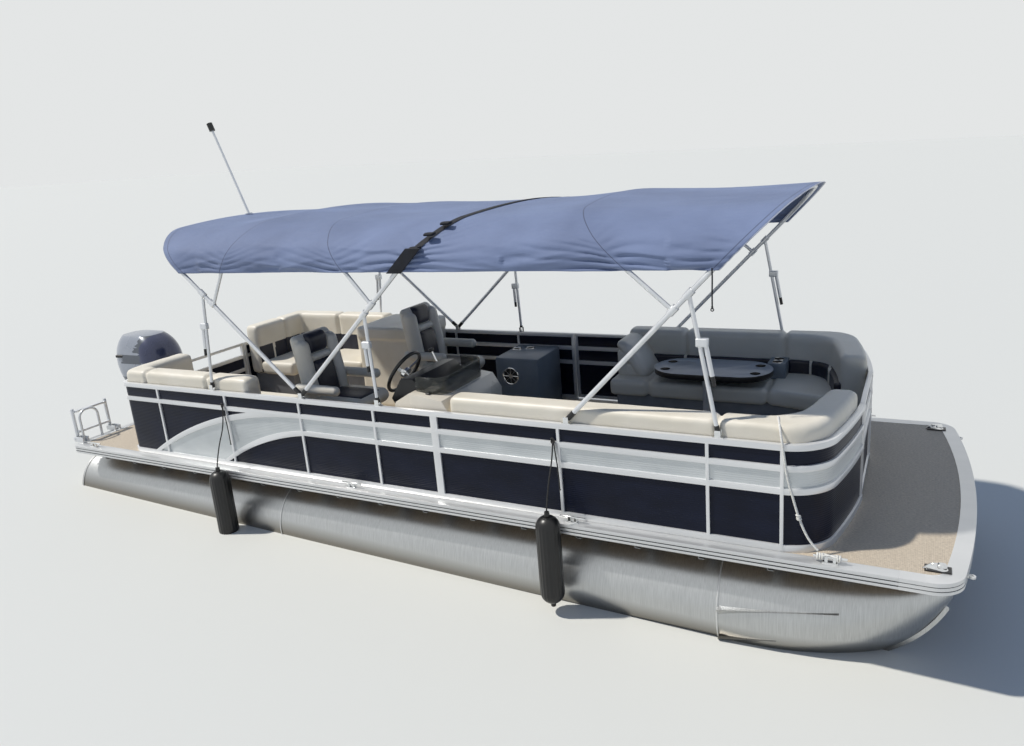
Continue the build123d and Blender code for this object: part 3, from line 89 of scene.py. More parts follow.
def addBump(tree, coords, normal, pattern):
    # pattern: kind of texture, size in metres, stretch along x y z, depth in metres
    kind, size, stretch, depth = pattern
    mapped = addNode(tree, "ShaderNodeMapping", {"Scale": stretch}, {"Vector": coords}).outputs[0]
    if kind == "noise":
        settings = {"Scale": 1 / size, "Detail": 3.0}
        height = addNode(tree, "ShaderNodeTexNoise", settings, {"Vector": mapped}).outputs[0]
    elif kind == "cells":
        height = addNode(tree, "ShaderNodeTexVoronoi", {"Scale": 1 / size}, {"Vector": mapped}).outputs[0]
    else:
        settings = {"Scale": bandTurn / size, "bands_direction": kind[-1]}
        height = addNode(tree, "ShaderNodeTexWave", settings, {"Vector": mapped}).outputs["Fac"]
    bump = addNode(tree, "ShaderNodeBump", {"Strength": 1.0, "Distance": depth}, {"Height": height})
    if normal:
        tree.links.new(normal, bump.inputs["Normal"])
    return bump.outputs[0]


# ends: where the mottling's two colours lie; ragged: how uneven a stain's edge is, in metres;
# seam: how much of the cloth's colour a seam's thread covers
mottling = {"ends": (0.3, 0.7), "detail": 4.0, "ragged": 0.05, "seam": 0.55}


def makeMaterial(name, dark, light, rough, mottle, bumps=(), roughSpread=0.08, uniform=None, band=None,
                 seams=()):
    # dark and light: the colours that the mottling runs between; mottle: its size and its stretch;
    # uniform: shader sockets that don't vary; band: a stain that fades out upwards from the water;
    # seams: lines stitched along a bow, each with the bow, how far before it, half width and colour
    material = bpy.data.materials.new(name)
    material.use_nodes = True
    tree = material.node_tree
    shader = tree.nodes["Principled BSDF"]
    coords = addNode(tree, "ShaderNodeTexCoord").outputs["Object"]
    size, stretch = mottle
    mapped = addNode(tree, "ShaderNodeMapping", {"Scale": stretch}, {"Vector": coords}).outputs[0]
    settings = {"Scale": 1 / size, "Detail": mottling["detail"]}
    cloud = addNode(tree, "ShaderNodeTexNoise", settings, {"Vector": mapped}).outputs[0]
    ramp = addNode(tree, "ShaderNodeValToRGB", {}, {"Fac": cloud})
    for element, place, colour in zip(ramp.color_ramp.elements, mottling["ends"], (dark, light)):
        element.position = place
        element.color = linearColour(colour)
    colour = ramp.outputs[0]
    overlays = []
    if band:
        low, high, stain, amount = band
        settings = {"operation": "DOT_PRODUCT", 1: (trim, 0, 1)}
        height = addNode(tree, "ShaderNodeVectorMath", settings, {0: coords}).outputs[1]
        settings = {"operation": "MULTIPLY_ADD", 1: -mottling["ragged"]}
        ragged = addNode(tree, "ShaderNodeMath", settings, {0: cloud, 2: height}).outputs[0]
        settings = {"From Min": low, "From Max": high, "To Min": amount, "To Max": 0.0}
        share = addNode(tree, "ShaderNodeMapRange", settings, {"Value": ragged}).outputs[0]
        overlays.append((share, stain))
    for bow, before, width, thread in seams:
        settings = {"operation": "DOT_PRODUCT", 1: (1, 0, -bowLines[bow][2])}
        across = addNode(tree, "ShaderNodeVectorMath", settings, {0: coords}).outputs[1]
        settings = {"operation": "COMPARE", 1: alongBow(bow, 0) + before, 2: width}
        near = addNode(tree, "ShaderNodeMath", settings, {0: across}).outputs[0]
        settings = {"operation": "MULTIPLY", 1: mottling["seam"]}
        share = addNode(tree, "ShaderNodeMath", settings, {0: near}).outputs[0]
        overlays.append((share, thread))
    for share, over in overlays:
        settings = {"data_type": "RGBA", 7: linearColour(over)}
        colour = addNode(tree, "ShaderNodeMix", settings, {0: share, 6: colour}).outputs[2]
    tree.links.new(colour, shader.inputs["Base Color"])
    settings = {"To Min": rough - roughSpread, "To Max": rough + roughSpread}
    spread = addNode(tree, "ShaderNodeMapRange", settings, {"Value": cloud})
    tree.links.new(spread.outputs[0], shader.inputs["Roughness"])
    for socket, value in (uniform or {}).items():
        shader.inputs[socket].default_value = value
    normal = None
    for pattern in bumps:
        normal = addBump(tree, coords, normal, pattern)
    if normal:
        tree.links.new(normal, shader.inputs["Normal"])
    return material


even = (1, 1, 1)
grained = ("cells", 0.0016, even, 0.0002)
paints = {
    # brushed aluminium sheet with fine upright scratches, stained brown at the water
    "tubeAluminium": makeMaterial("brushedAluminiumTube", "#b4b6b7", "#c6c8c9", 0.34, (0.03, (7, 1, 0.2)),
                                  [("noise", 0.004, (5, 1, 0.1), 0.00006), ("noise", 0.45, even, 0.0015)],
                                  0.05, {"Metallic": 0.9}, (0.0, 0.11, "#6d665a", 0.75)),
    # mill finish plate, duller
    "millAluminium": makeMaterial("millAluminium", "#8c8f91", "#a4a6a8", 0.45, (0.05, even),
                                  [("noise", 0.006, (1, 6, 6), 0.0001)], 0.06, {"Metallic": 0.9}),
    # anodised extrusion, pale satin
    "trimAluminium": makeMaterial("anodisedTrim", "#d4d5d4", "#e2e2e1", 0.36, (0.3, (0.3, 1, 1)),
                                  [("noise", 0.02, (0.2, 1, 1), 0.00005)], 0.04, {"Metallic": 0.6}),
    # the same extrusion in its sunken strips, dark with shade
    "trimGroove": makeMaterial("shadedTrimGroove", "#3c3e41", "#4b4e51", 0.5, (0.2, even),
                               [("noise", 0.02, (0.2, 1, 1), 0.00005)], 0.05, {"Metallic": 0.5}),
    # anodised square tube, paler and a little brighter
    "railAluminium": makeMaterial("anodisedRail", "#dcdddd", "#e8e8e7", 0.33, (0.4, (0.3, 1, 1)),
                                  [("noise", 0.02, (0.3, 1, 1), 0.00005)], 0.04, {"Metallic": 0.5}),
    # painted aluminium sheet, rolled with ribs 14 mm apart that run fore and aft
    "silverPanel": makeMaterial("ribbedSilverSheet", "#bcc1c3", "#ccd0d1", 0.36, (0.3, (1, 1, 2)),
                                [("ribsZ", 0.014, even, 0.0009)], 0.05, {"Metallic": 0.6}),
    "navyPanel": makeMaterial("ribbedNavySheet", "#0c1120", "#141a2d", 0.30, (0.3, (1, 1, 2)),
                              [("ribsZ", 0.014, even, 0.0009)], 0.05, {"Specular IOR Level": 0.18}),
    # flat tan yarns with brown and grey threads, woven at 9 mm, coarser than real ones so that they show
    "wovenVinyl": makeMaterial("wovenVinylFloor", "#a89b88", "#d6c8b2", 0.6, (0.006, (0.35, 1.6, 1)),
                               [("ribsX", 0.009, even, 0.0008), ("ribsY", 0.009, even, 0.0008)], 0.05),
    # chromed zinc castings, almost a mirror
    "chrome": makeMaterial("chromedZinc", "#d8dadc", "#eceded", 0.10, (0.03, even),
                           [("noise", 0.03, even, 0.00005)], 0.03, {"Metallic": 1.0}),
    # marine upholstery vinyl, soft sheen, fine grain
    "creamVinyl": makeMaterial("creamVinyl", "#dcd4c1", "#e6dfcf", 0.42, (0.35, even),
                               [grained, ("noise", 0.12, even, 0.003)], 0.05),
    "navyVinyl": makeMaterial("navyVinyl", "#141826", "#1c2133", 0.42, (0.2, even),
                              [grained, ("noise", 0.08, even, 0.002)], 0.05),
    # moulded polyethylene, matt with a fine pebble
    "seatBase": makeMaterial("mouldedSeatBase", "#77797d", "#85878b", 0.55, (0.1, even),
                             [("cells", 0.003, even, 0.0003)]),
    # moulded ABS with a glossy skin
    "consolePlastic": makeMaterial("mouldedConsole", "#d6cdbb", "#dfd7c7", 0.28, (0.3, even),
                                   [("noise", 0.05, even, 0.0004)], 0.04, {"Coat Weight": 0.2}),
    # moulded polyethylene, satin
    "greyPlastic": makeMaterial("greyCabinet", "#6f7880", "#7c858d", 0.42, (0.2, even),
                                [("cells", 0.003, even, 0.0002)]),
    # moulded ABS, satin, the mould's grain just seen
    "blackPlastic": makeMaterial("blackMouldedPlastic", "#141517", "#1d1e20", 0.36, (0.05, even),
                                 [("cells", 0.002, even, 0.0002)]),
    # treated plywood, its grain along the boat
    "deckBoard": makeMaterial("treatedPlyBoard", "#6d5a3f", "#8a7350", 0.7, (0.03, (0.3, 4, 4)),
                              [("noise", 0.006, (0.2, 4, 4), 0.0004)]),
    # woven polyester webbing, matt
    "webbing": makeMaterial("blackWebbing", "#14161c", "#1f222b", 0.7, (0.05, even),
                            [("ribsX", 0.002, even, 0.0003)], 0.05, {"Specular IOR Level": 0.3}),
    # drawn aluminium tube, bright and a little streaked along its length
    "bowTube": makeMaterial("brightAluminiumTube", "#d9dbdc", "#e8e9e9", 0.30, (0.05, (1, 1, 0.2)),
                            [("noise", 0.02, (1, 1, 0.2), 0.00004)], 0.04, {"Metallic": 0.45}),
    # metallic enamels under a clear coat, glossy
    "slatePaint": makeMaterial("slateEnamel", "#4a4f57", "#575d66", 0.30, (0.25, even),
                               [("noise", 0.03, even, 0.0001)], 0.04, {"Metallic": 0.35, "Coat Weight": 0.4}),
    "silverPaint": makeMaterial("silverEnamel", "#8f959f", "#a3a8b1", 0.28, (0.25, even),
                                [("noise", 0.03, even, 0.0001)], 0.04, {"Metallic": 0.4, "Coat Weight": 0.4}),
    "indigoPaint": makeMaterial("indigoEnamel", "#3a3f57", "#454b66", 0.28, (0.25, even),
                                [("noise", 0.03, even, 0.0001)], 0.04, {"Metallic": 0.3, "Coat Weight": 0.4}),
    # black enamel on castings, satin
    "darkPaint": makeMaterial("blackEnamel", "#17181a", "#222325", 0.36, (0.06, even),
                              [("noise", 0.03, even, 0.0002)]),
    # blow-moulded vinyl, black with a slight shine
    "rubber": makeMaterial("blackFenderVinyl", "#101011", "#1a1a1b", 0.36, (0.1, (1, 1, 0.3)),
                           [("noise", 0.05, even, 0.0003)]),
    # twisted nylon line, matt, its strands drawn at 3 to 4 mm so that they show
    "whiteRope": makeMaterial("whiteNylonRope", "#c9c7be", "#e9e7df", 0.75, (0.008, even),
                              [("cells", 0.004, (1, 1, 0.6), 0.0012)], 0.06, {"Sheen Weight": 0.2}),
    "blackRope": makeMaterial("blackNylonRope", "#111112", "#1c1c1d", 0.7, (0.006, even),
                              [("cells", 0.003, (1, 1, 0.6), 0.0008)], 0.06, {"Sheen Weight": 0.1}),
    # moulded ABS table top, satin
    "tableTop": makeMaterial("mouldedTableTop", "#88919b", "#969fa8", 0.34, (0.2, even),
                             [("noise", 0.02, even, 0.0001)], 0.04),
    # thin smoked acrylic, dark and glossy, and half see-through
    "smokedScreen": makeMaterial("smokedAcrylic", "#2c3230", "#383f3c", 0.07, (0.3, even),
                                 [("noise", 0.2, even, 0.0001)], 0.02,
                                 {"Transmission Weight": 0.75, "Alpha": 0.62}),
}

# woven acrylic canvas: navy lightened all over by painted sheen, to stand partway for the sun's glare on it;
# a stitched seam over each bow and pale piping on the front hem; its yarns are drawn at 2.2 mm,
# coarser than real ones, so that they show
canvasLook = {
    "dark": "#667391", "light": "#7a88a8", "rough": 0.68, "roughSpread": 0.06, "mottle": (0.55, even),
    "bumps": [("ribsX", 0.0022, even, 0.0002), ("ribsY", 0.0022, even, 0.0002),
              ("noise", 0.16, (0.6, 1.4, 1.4), 0.006)],
    "uniform": {"Sheen Weight": 0.2, "Specular IOR Level": 0.3},
}
darkThread = "#1d2238"
canvasSeams = {
    "front": (("frontSecond", 0.0, 0.004, darkThread), ("frontMain", 0.0019, 0.004, darkThread),
              ("frontMain", 0.0451, 0.006, "#ffffff")),
    "rear": (("rearSecondAft", 0.0, 0.004, darkThread), ("rearSecondFore", 0.0, 0.004, darkThread),
             ("rearAft", 0.0356, 0.004, darkThread)),
}
for end, seams in canvasSeams.items():
    paints[end + "Canvas"] = makeMaterial(end + "NavyCanvas", seams=seams, **canvasLook)
print("materials made")


# Small helpers

def finishPiece(name, bm, paint, body="boat", nodes=(), sharp=32, paintsMore=()):
    # a bmesh becomes a piece: smooth faces, sharp where it turns more than the angle
    limit = math.radians(sharp)
    for face in bm.faces:
        face.smooth = True
    for edge in bm.edges:
        if len(edge.link_faces) == 2 and edge.calc_face_angle(0) > limit:
            edge.smooth = False
    mesh = bpy.data.meshes.new(name)
    bm.to_mesh(mesh)
    bm.free()
    piece = bpy.data.objects.new(name, mesh)
    bpy.context.scene.collection.objects.link(piece)
    mesh.materials.append(paints[paint])
    for extra in paintsMore:
        mesh.materials.append(paints[extra])
    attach(piece, body)
    if nodes:
        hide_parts(*nodes)
    return piece


# weld: points this close are one; flat and corner: degrees up to which faces join, and from which edges round
easing = {"weld": 0.00002, "flat": 0.6, "corner": 45}


def copyOfNode(node):
    # the CAD solid's triangles, joined where they meet
    bm = bmesh.new()
    bm.from_mesh(frame["nodes"][node].data)
    bmesh.ops.remove_doubles(bm, verts=bm.verts, dist=easing["weld"])
    return bm


bodyOfNode = {}
for bodyName, members in frame["record"]["behaviour"]["bodies"].items():
    for member in members:
        bodyOfNode[member] = bodyName


def dress(node, name, paint, rounding=0.0, sharp=32, paintsMore=(), rule=None, extra=None):
    # the same solid with its edges eased and its curves smooth; the rule numbers each face's paint,
    # and extra adds small fittings
    bm = copyOfNode(node)
    bmesh.ops.dissolve_limit(bm, angle_limit=math.radians(easing["flat"]), verts=bm.verts, edges=bm.edges)
    if rounding:
        corner = math.radians(easing["corner"])
        edges = [edge for edge in bm.edges if len(edge.link_faces) == 2 and edge.calc_face_angle(0) > corner]
        bmesh.ops.bevel(bm, geom=edges, offset=rounding, offset_type="OFFSET", segments=2, profile=0.5,
                        affect="EDGES", clamp_overlap=True, material=-1)
    if rule:
        bm.normal_update()
        for face in bm.faces:
            face.material_index = rule(face.calc_center_median(), face.normal)
    if extra:
        extra(bm)
    finishPiece(name, bm, paint, bodyOfNode[node], (node,), sharp, paintsMore)


pillowGrid = {"cuts": 9, "flat": 0.4}  # flat: the share of the grid that lies between the rounded edges


def pillow(bm, centre, half, radius, crown=(0, 0, 0), index=0, lean=0.0, turn=0.0):
    # a box with round edges, swollen on its faces; it leans aft as it rises, and turns about z
    own = bmesh.new()
    bmesh.ops.create_cube(own, size=2)
    bmesh.ops.subdivide_edges(own, edges=own.edges, cuts=pillowGrid["cuts"], use_grid_fill=True)
    half = Vector(half)
    spin = Matrix.Rotation(turn, 3, "Z")
    level = pillowGrid["flat"]
    for vert in own.verts:
        unit = vert.co.copy()
        place, core = Vector(), Vector()
        for i in range(3):
            share, flat = abs(unit[i]), half[i] - radius
            reach = flat * share / level if share < level else flat + radius * (share - level) / (1 - level)
            place[i] = math.copysign(reach, unit[i])
            core[i] = math.copysign(min(reach, flat), unit[i])
        if (place - core).length > 1e-9:
            depth = max(abs(place[i] - core[i]) for i in range(3))
            place = core + (place - core).normalized() * depth
        for i in range(3):
            others = [unit[j] for j in range(3) if j != i]
            if abs(unit[i]) > 0.99:
                place[i] += math.copysign(crown[i] * (1 - others[0] ** 2) * (1 - others[1] ** 2), unit[i])
        place.x -= lean * place.z
        vert.co = spin @ place + Vector(centre)
    for face in own.faces:
        face.material_index = index
    bmesh.ops.recalc_face_normals(own, faces=own.faces)
    mesh = bpy.data.meshes.new("pillow")
    own.to_mesh(mesh)
    own.free()
    bm.from_mesh(mesh)
    bpy.data.meshes.remove(mesh)


def hoopRing(bm, centre, axis, radius, thick, index=0, steps=32):
    # a round ring about an axis
    axis = Vector(axis).normalized()
    side = axis.orthogonal().normalized()
    made = bmesh.ops.create_circle(bm, segments=10, radius=thick)["verts"]
    for vert in made:
        vert.co = Vector(centre) + side * (radius + vert.co.x) + axis * vert.co.y
    edges = list({edge for vert in made for edge in vert.link_edges})
    before = set(bm.faces)
    bmesh.ops.spin(bm, geom=made + edges, cent=centre, axis=axis, angle=2 * math.pi, steps=steps,
                   use_merge=True)
    for face in set(bm.faces) - before:
        face.material_index = index


def barrel(bm, start, end, radius, index=0, segments=20):
    # a plain round bar between two places
    start, end = Vector(start), Vector(end)
    before = set(bm.faces)
    place = (end - start).to_track_quat("Z", "Y").to_matrix().to_4x4()
    place.translation = (start + end) / 2
    bmesh.ops.create_cone(bm, cap_ends=True, segments=segments, radius1=radius, radius2=radius,
                          depth=(end - start).length, matrix=place)
    for face in set(bm.faces) - before:
        face.material_index = index


def addModifier(piece, kind, **values):
    modifier = piece.modifiers.new(kind.lower(), kind)
    for key, value in values.items():
        setattr(modifier, key, value)


def applyModifiers(piece):
    # the mesh as the modifiers leave it
    graph = bpy.context.evaluated_depsgraph_get()
    mesh = bpy.data.meshes.new_from_object(piece.evaluated_get(graph))
    piece.modifiers.clear()
    old = piece.data
    piece.data = mesh
    bpy.data.meshes.remove(old)


# Camera and light

# place in metres, turns in degrees, lens and sensor in millimetres, and how far it sees
view = {"place": (3.400, -5.478, 2.938), "yaw": 28.854, "pitch": 14.828, "roll": -4.847,
        "lens": 27.17, "sensor": 36, "shiftX": 0.001, "shiftY": -0.0111, "reach": 400}


def makeCamera():
    yaw, pitch, roll = (math.radians(view[key]) for key in ("yaw", "pitch", "roll"))
    back = Vector((math.sin(yaw) * math.cos(pitch), -math.cos(yaw) * math.cos(pitch), math.sin(pitch)))
    right = (-back).cross(Vector((0, 0, 1))).normalized()
    up = right.cross(-back)
    turnedRight = right * math.cos(roll) + up * math.sin(roll)
    turnedUp = up * math.cos(roll) - right * math.sin(roll)
    data = bpy.data.cameras.new("camera")
    camera = bpy.data.objects.new("camera", data)
    bpy.context.scene.collection.objects.link(camera)
    place = Matrix((turnedRight, turnedUp, back)).transposed().to_4x4()
    place.translation = Vector(view["place"])
    camera.matrix_world = place
    data.sensor_width = view["sensor"]
    data.lens = view["lens"]
    data.shift_x = view["shiftX"]
    data.shift_y = view["shiftY"]
    data.clip_end = view["reach"]
    bpy.context.scene.camera = camera


# the fill lights the boat, and the back is what the camera and the mirrors see behind it;
# sunWay: the way that the sun shines
studio = {
    "floorHalf": 150, "floor": "#d6d6cf", "floorRough": 0.8,
    "fill": ("#a9c4f2", 0.43), "back": ("#e9ebeb", 0.95),
    "sun": 3.5, "sunDegrees": 2, "sunColour": (1.0, 0.965, 0.91), "sunWay": (0.62, 0.28, -1.0),
}


def makeStudio():
    # a wide floor at the water's height, an even sky and one sun
    bm = bmesh.new()
    bmesh.ops.create_grid(bm, x_segments=1, y_segments=1, size=studio["floorHalf"])
    for vert in bm.verts:
        vert.co.z = -trim * vert.co.x
    mesh = bpy.data.meshes.new("floor")
    bm.to_mesh(mesh)
    bm.free()
    floor = bpy.data.objects.new("floor", mesh)
    bpy.context.scene.collection.objects.link(floor)
    material = bpy.data.materials.new("paleFloor")
    material.use_nodes = True
    shader = material.node_tree.nodes["Principled BSDF"]
    shader.inputs["Base Color"].default_value = linearColour(studio["floor"])
    shader.inputs["Roughness"].default_value = studio["floorRough"]
    mesh.materials.append(material)

    world = bpy.data.worlds.new("studio")
    bpy.context.scene.world = world
    world.use_nodes = True
    tree = world.node_tree
    tree.nodes.clear()
    path = addNode(tree, "ShaderNodeLightPath").outputs
    seen = path["Is Camera Ray"]
    for ray in ("Is Glossy Ray", "Is Transmission Ray"):
        seen = addNode(tree, "ShaderNodeMath", {"operation": "MAXIMUM"}, {0: seen, 1: path[ray]}).outputs[0]
    lit = {0: seen}
    for socket, (colour, strength) in enumerate((studio["fill"], studio["back"]), 1):
        settings = {"Color": linearColour(colour), "Strength": strength}
        lit[socket] = addNode(tree, "ShaderNodeBackground", settings).outputs[0]
    mix = addNode(tree, "ShaderNodeMixShader", {}, lit)
    output = addNode(tree, "ShaderNodeOutputWorld")
    tree.links.new(mix.outputs[0], output.inputs[0])

    sun = bpy.data.lights.new("keyLight", "SUN")
    sun.energy = studio["sun"]
    sun.angle = math.radians(studio["sunDegrees"])
    sun.color = studio["sunColour"]
    lamp = bpy.data.objects.new("keyLight", sun)
    bpy.context.scene.collection.objects.link(lamp)
    lamp.rotation_euler = Vector(studio["sunWay"]).to_track_quat("-Z", "Y").to_euler()
    bpy.context.scene.view_settings.view_transform = "Standard"


makeCamera()
makeStudio()
print("camera and studio ready")


# Lines

def makeCord(name, route, radius, paint, node, pieces):
    # a line along its route; pieces: the knots or fittings that hang on it, not used
    curve = bpy.data.curves.new(name, "CURVE")
    curve.dimensions = "3D"
    curve.bevel_depth = radius
    curve.bevel_resolution = 3
    curve.resolution_u = 10
    spline = curve.splines.new("NURBS")
    spline.points.add(len(route) - 1)
    for point, place in zip(spline.points, route):
        point.co = (*place, 1)
    spline.order_u = 3
    spline.use_endpoint_u = True
    curve.use_fill_caps = True
    cord = bpy.data.objects.new(name, curve)
    bpy.context.scene.collection.objects.link(cord)
    curve.materials.append(paints[paint])
    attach(cord, "boat")
    if node:
        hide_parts(node)


bowLine = {
    "route": ((2.690, -1.030, 1.3472), (2.718, -1.166, 1.355), (2.742, -1.220, 1.262), (2.757, -1.222, 1.160),
              (2.772, -1.222, 1.055), (2.800, -1.222, 0.950), (2.830, -1.224, 0.840), (2.870, -1.228, 0.735),
              (2.912, -1.234, 0.668), (2.945, -1.241, 0.640)),
    "radius": 0.007, "length": 0.90,
}
fenderLines = {
    "Aft": {"node": "fender_line_aft", "length": 0.51,
            "route": ((-1.735, -1.3782, 0.6417), (-1.735, -1.3382, 0.7817), (-1.735, -1.227, 0.9717),
                      (-1.735, -1.215, 1.132))},
    "Forward": {"node": "fender_line_forward", "length": 0.45,
                "route": ((1.310, -1.3782, 0.7017), (1.310, -1.3382, 0.8417), (1.310, -1.227, 1.0317),
                          (1.310, -1.215, 1.132))},
}
fenderLineRadius = 0.005
bowKnotLook = {
    # the knot half way down: its place, the line's way there, and its rings' tilts, step and section
    "place": (2.8335, -1.2245, 0.832), "along": (0.28, -0.02, -1.0), "tilts": (-0.5, 0.3, -0.2),
    "step": 0.011, "ring": (0.0085, 0.0065),
    # the turns on the cleat: places along x, the horn's y and z, radius and thickness, and a cross below
    "turns": (2.944, 2.957, 2.970, 3.050, 3.063), "horn": (-1.250, 0.612), "turn": (0.0145, 0.0062),
    "cross": ((2.972, -1.262, 0.622), (3.048, -1.238, 0.622)),
}
fenderKnotLook = {
    # rail: how far fore of the line, and the y and z where it is tied
    "rail": (0.001, -1.2165, 1.128), "step": 0.006, "ring": (0.012, 0.005),
    "tailRadius": 0.0042, "tailEnd": 0.004,
    "tail": ((0.009, -1.222, 1.124), (0.026, -1.224, 0.960), (0.033, -1.227, 0.870), (0.036, -1.230, 0.790)),
}


def bowKnot():
    # an overhand knot half way down, and round turns on the cleat's horn
    bm = bmesh.new()
    look = bowKnotLook
    along = Vector(look["along"]).normalized()
    for step, tilt in enumerate(look["tilts"]):
        axis = (along + Vector((tilt, 0.2 * tilt, 0))).normalized()
        hoopRing(bm, Vector(look["place"]) + along * look["step"] * step, axis, *look["ring"], 0, 24)
    for x in look["turns"]:
        hoopRing(bm, (x, *look["horn"]), (1, 0.12, 0), *look["turn"], 0, 24)
    low, high = (Vector(place) for place in look["cross"])
    barrel(bm, low, high, look["turn"][1], 0, 14)
    barrel(bm, (low.x, high.y, low.z), (high.x, low.y, high.z), look["turn"][1], 0, 14)
    return finishPiece("bowLineKnot", bm, "whiteRope", "boat", (), 60)


def fenderKnot(name, lineX):
    # a clove hitch at the rail, with its free end hanging
    bm = bmesh.new()
    look = fenderKnotLook
    aside, y, z = look["rail"]
    for step in (-1, 1):
        centre = (lineX + aside, y, z + look["step"] * step)
        hoopRing(bm, centre, (0.2, 0.9, 0.3 * step), *look["ring"], 0, 20)
    places = [Vector((lineX + dx, y, z)) for dx, y, z in look["tail"]]
    for first, second in zip(places, places[1:]):
        barrel(bm, first, second, look["tailRadius"], 0, 12)
    hoopRing(bm, places[-1], (0.1, 0.3, 1), look["tailEnd"], look["tailEnd"], 0, 16)
    return finishPiece(name, bm, "blackRope", "boat", (), 60)


makeCord("bowDockLine", bowLine["route"], bowLine["radius"], "whiteRope", "bow_line",
         [bowKnot()])
for end, row in fenderLines.items():
    makeCord("fenderLine" + end, row["route"], fenderLineRadius, "blackRope", row["node"],
             [fenderKnot("fenderKnot" + end, row["route"][-1][0])])

cornerTie = {
    "route": ((2.360, -1.1985, 2.250), (2.361, -1.1990, 2.190), (2.358, -1.1985, 2.110),
              (2.358, -1.1985, 2.022)),
    "radius": 0.0045, "length": 0.228, "hook": (0.008, 0.003), "collar": 0.006,
}


def tieHook():
    # a small hook at the tie's end
    bm = bmesh.new()
    x, y, z = cornerTie["route"][-1]
    hoopRing(bm, (x, y, z - 0.008), (0, 1, 0), *cornerTie["hook"], 0, 20)
    barrel(bm, (x, y, z - 0.004), (x, y, z + 0.012), cornerTie["collar"], 0, 16)
    return finishPiece("cornerTieHook", bm, "blackPlastic", "boat")


# a tie that hangs from the front canopy's starboard corner
makeCord("cornerTie", cornerTie["route"], cornerTie["radius"], "webbing", None,
         [tieHook()])
print("lines laid")


# Rigid pieces carried over

dressed = (
    ("cross_members", "deckCrossMembers", "millAluminium", 0.0),
    ("motor_pod", "motorPod", "millAluminium", 0.006),
    ("deck_board", "deckBoard", "deckBoard", 0.0),
    ("floor_covering", "wovenFloor", "wovenVinyl", 0.0),
    ("deck_cleats", "deckCleats", "chrome", 0.003),
    ("fence_frame_starboard", "starboardFence", "railAluminium", 0.003),
    ("fence_frame_port_bow", "portBowFence", "railAluminium", 0.003),
    ("fence_frame_port_aft", "portAftFence", "railAluminium", 0.003),
    ("navy_panels", "navyPanels", "navyPanel", 0.0),
    ("bow_lounge_bases", "bowSeatBases", "seatBase", 0.012),
    ("aft_lounge_bases", "aftSeatBases", "seatBase", 0.012),
    ("chair_pedestals", "chairPedestals", "trimAluminium", 0.003),
    ("helm_dash", "helmDash", "blackPlastic", 0.008),
    ("windscreen", "smokedWindscreen", "smokedScreen", 0.001),
    ("top_second_bows", "topSecondBows", "bowTube", 0.0),
    ("top_feet", "topFeet", "chrome", 0.001),
    ("outboard_clamp", "outboardClamp", "darkPaint", 0.003),
    ("outboard_swivel", "outboardSwivel", "darkPaint", 0.003),
    ("outboard_midsection", "outboardLeg", "slatePaint", 0.004),
    ("outboard_powerhead", "outboardPowerhead", "darkPaint", 0.01),
    ("propeller", "propellerBlades", "darkPaint", 0.002),
    ("boarding_ladder", "boardingLadder", "bowTube", 0.002),
    ("ladder_bracket", "ladderBracket", "bowTube", 0.002),
)
for node, name, paint, rounding in dressed:
    dress(node, name, paint, rounding)

# places of the joints along x, and the tube's middle and radius
tube = {"joints": (-3.880, -1.250, 2.370), "offset": 0.940, "axis": 0.085, "radius": 0.3195, "bead": 0.005}


def tubeBeads(bm, side):
    # weld beads on the tube's joints, one at the stern cap, one amidships, one where the nose begins
    for x in tube["joints"]:
        hoopRing(bm, (x, side * tube["offset"], tube["axis"]), (1, 0, 0), tube["radius"], tube["bead"], 1, 72)


for side, node, name in ((-1, "pontoon_starboard", "starboardTube"), (1, "pontoon_port", "portTube")):
    dress(node, name, "tubeAluminium", paintsMore=("trimAluminium",),
          extra=lambda bm, hand=side: tubeBeads(bm, hand))

# the edge trim's sunken strips are in shade: how far they lie under the deck's top, and what is left out
trimLook = {"top": 0.575, "grooves": ((0.019, 0.026), (0.044, 0.051)), "out": 1.3005}


def inGroove(place):
    down = trimLook["top"] - place.z
    return any(low < down < high for low, high in trimLook["grooves"])


def trimPaint(place, normal):
    return int(inGroove(place) and abs(place.y) < trimLook["out"])


def nosingPaint(place, normal):
    return int(inGroove(place) and abs(normal.z) < 0.7)


dress("deck_edge_trim", "deckEdgeTrim", "trimAluminium", 0.0015, paintsMore=("trimGroove",), rule=trimPaint)
dress("bow_nosing", "bowNosing", "trimAluminium", paintsMore=("trimGroove",), rule=nosingPaint)

bowLight = {
    "place": (3.540, 1.135, 0.578),
    # the gasket and the dome: forward and up from the place, half size, edge, swell and paint
    "forms": (((0.006, 0.003), (0.066, 0.036, 0.004), 0.003, (0, 0, 0), 1),
              ((0.024, 0.022), (0.026, 0.022, 0.016), 0.015, (0, 0, 0.004), 2)),
}


def lightRims(bm):
    # a dark gasket under each lamp, and a bright dome for the lens in its wide end
    x, y, floor = bowLight["place"]
    for hand in (-1, 1):
        for (ahead, up), *shape in bowLight["forms"]:
            pillow(bm, (x + ahead, hand * y, floor + up), *shape)


dress("bow_lights", "bowLights", "chrome", 0.008, paintsMore=("blackPlastic", "chrome"), extra=lightRims)

# bow: the fence turns across forward of this; rows: the silver band between its rails;
# topRow: where the row above it starts; slack: how far a face may lie from its sheet
fence = {"bow": 2.4, "rows": (0.977, 1.081), "topRow": 1.121, "slack": 0.004}


def outward(place, normal):
    # whether a face of the fence looks away from the boat
    hand = math.copysign(1, place.y)
    fore = math.copysign(1, place.x) if abs(place.x) > fence["bow"] else 0
    return normal.x * fore + normal.y * hand > 0.2


def silverPaint(place, normal):
    # the sheets are navy on the side that faces the seats
    return 0 if outward(place, normal) or abs(normal.z) > 0.7 else 1


dress("silver_panels", "silverPanels", "silverPanel", paintsMore=("navyPanel",), rule=silverPaint)

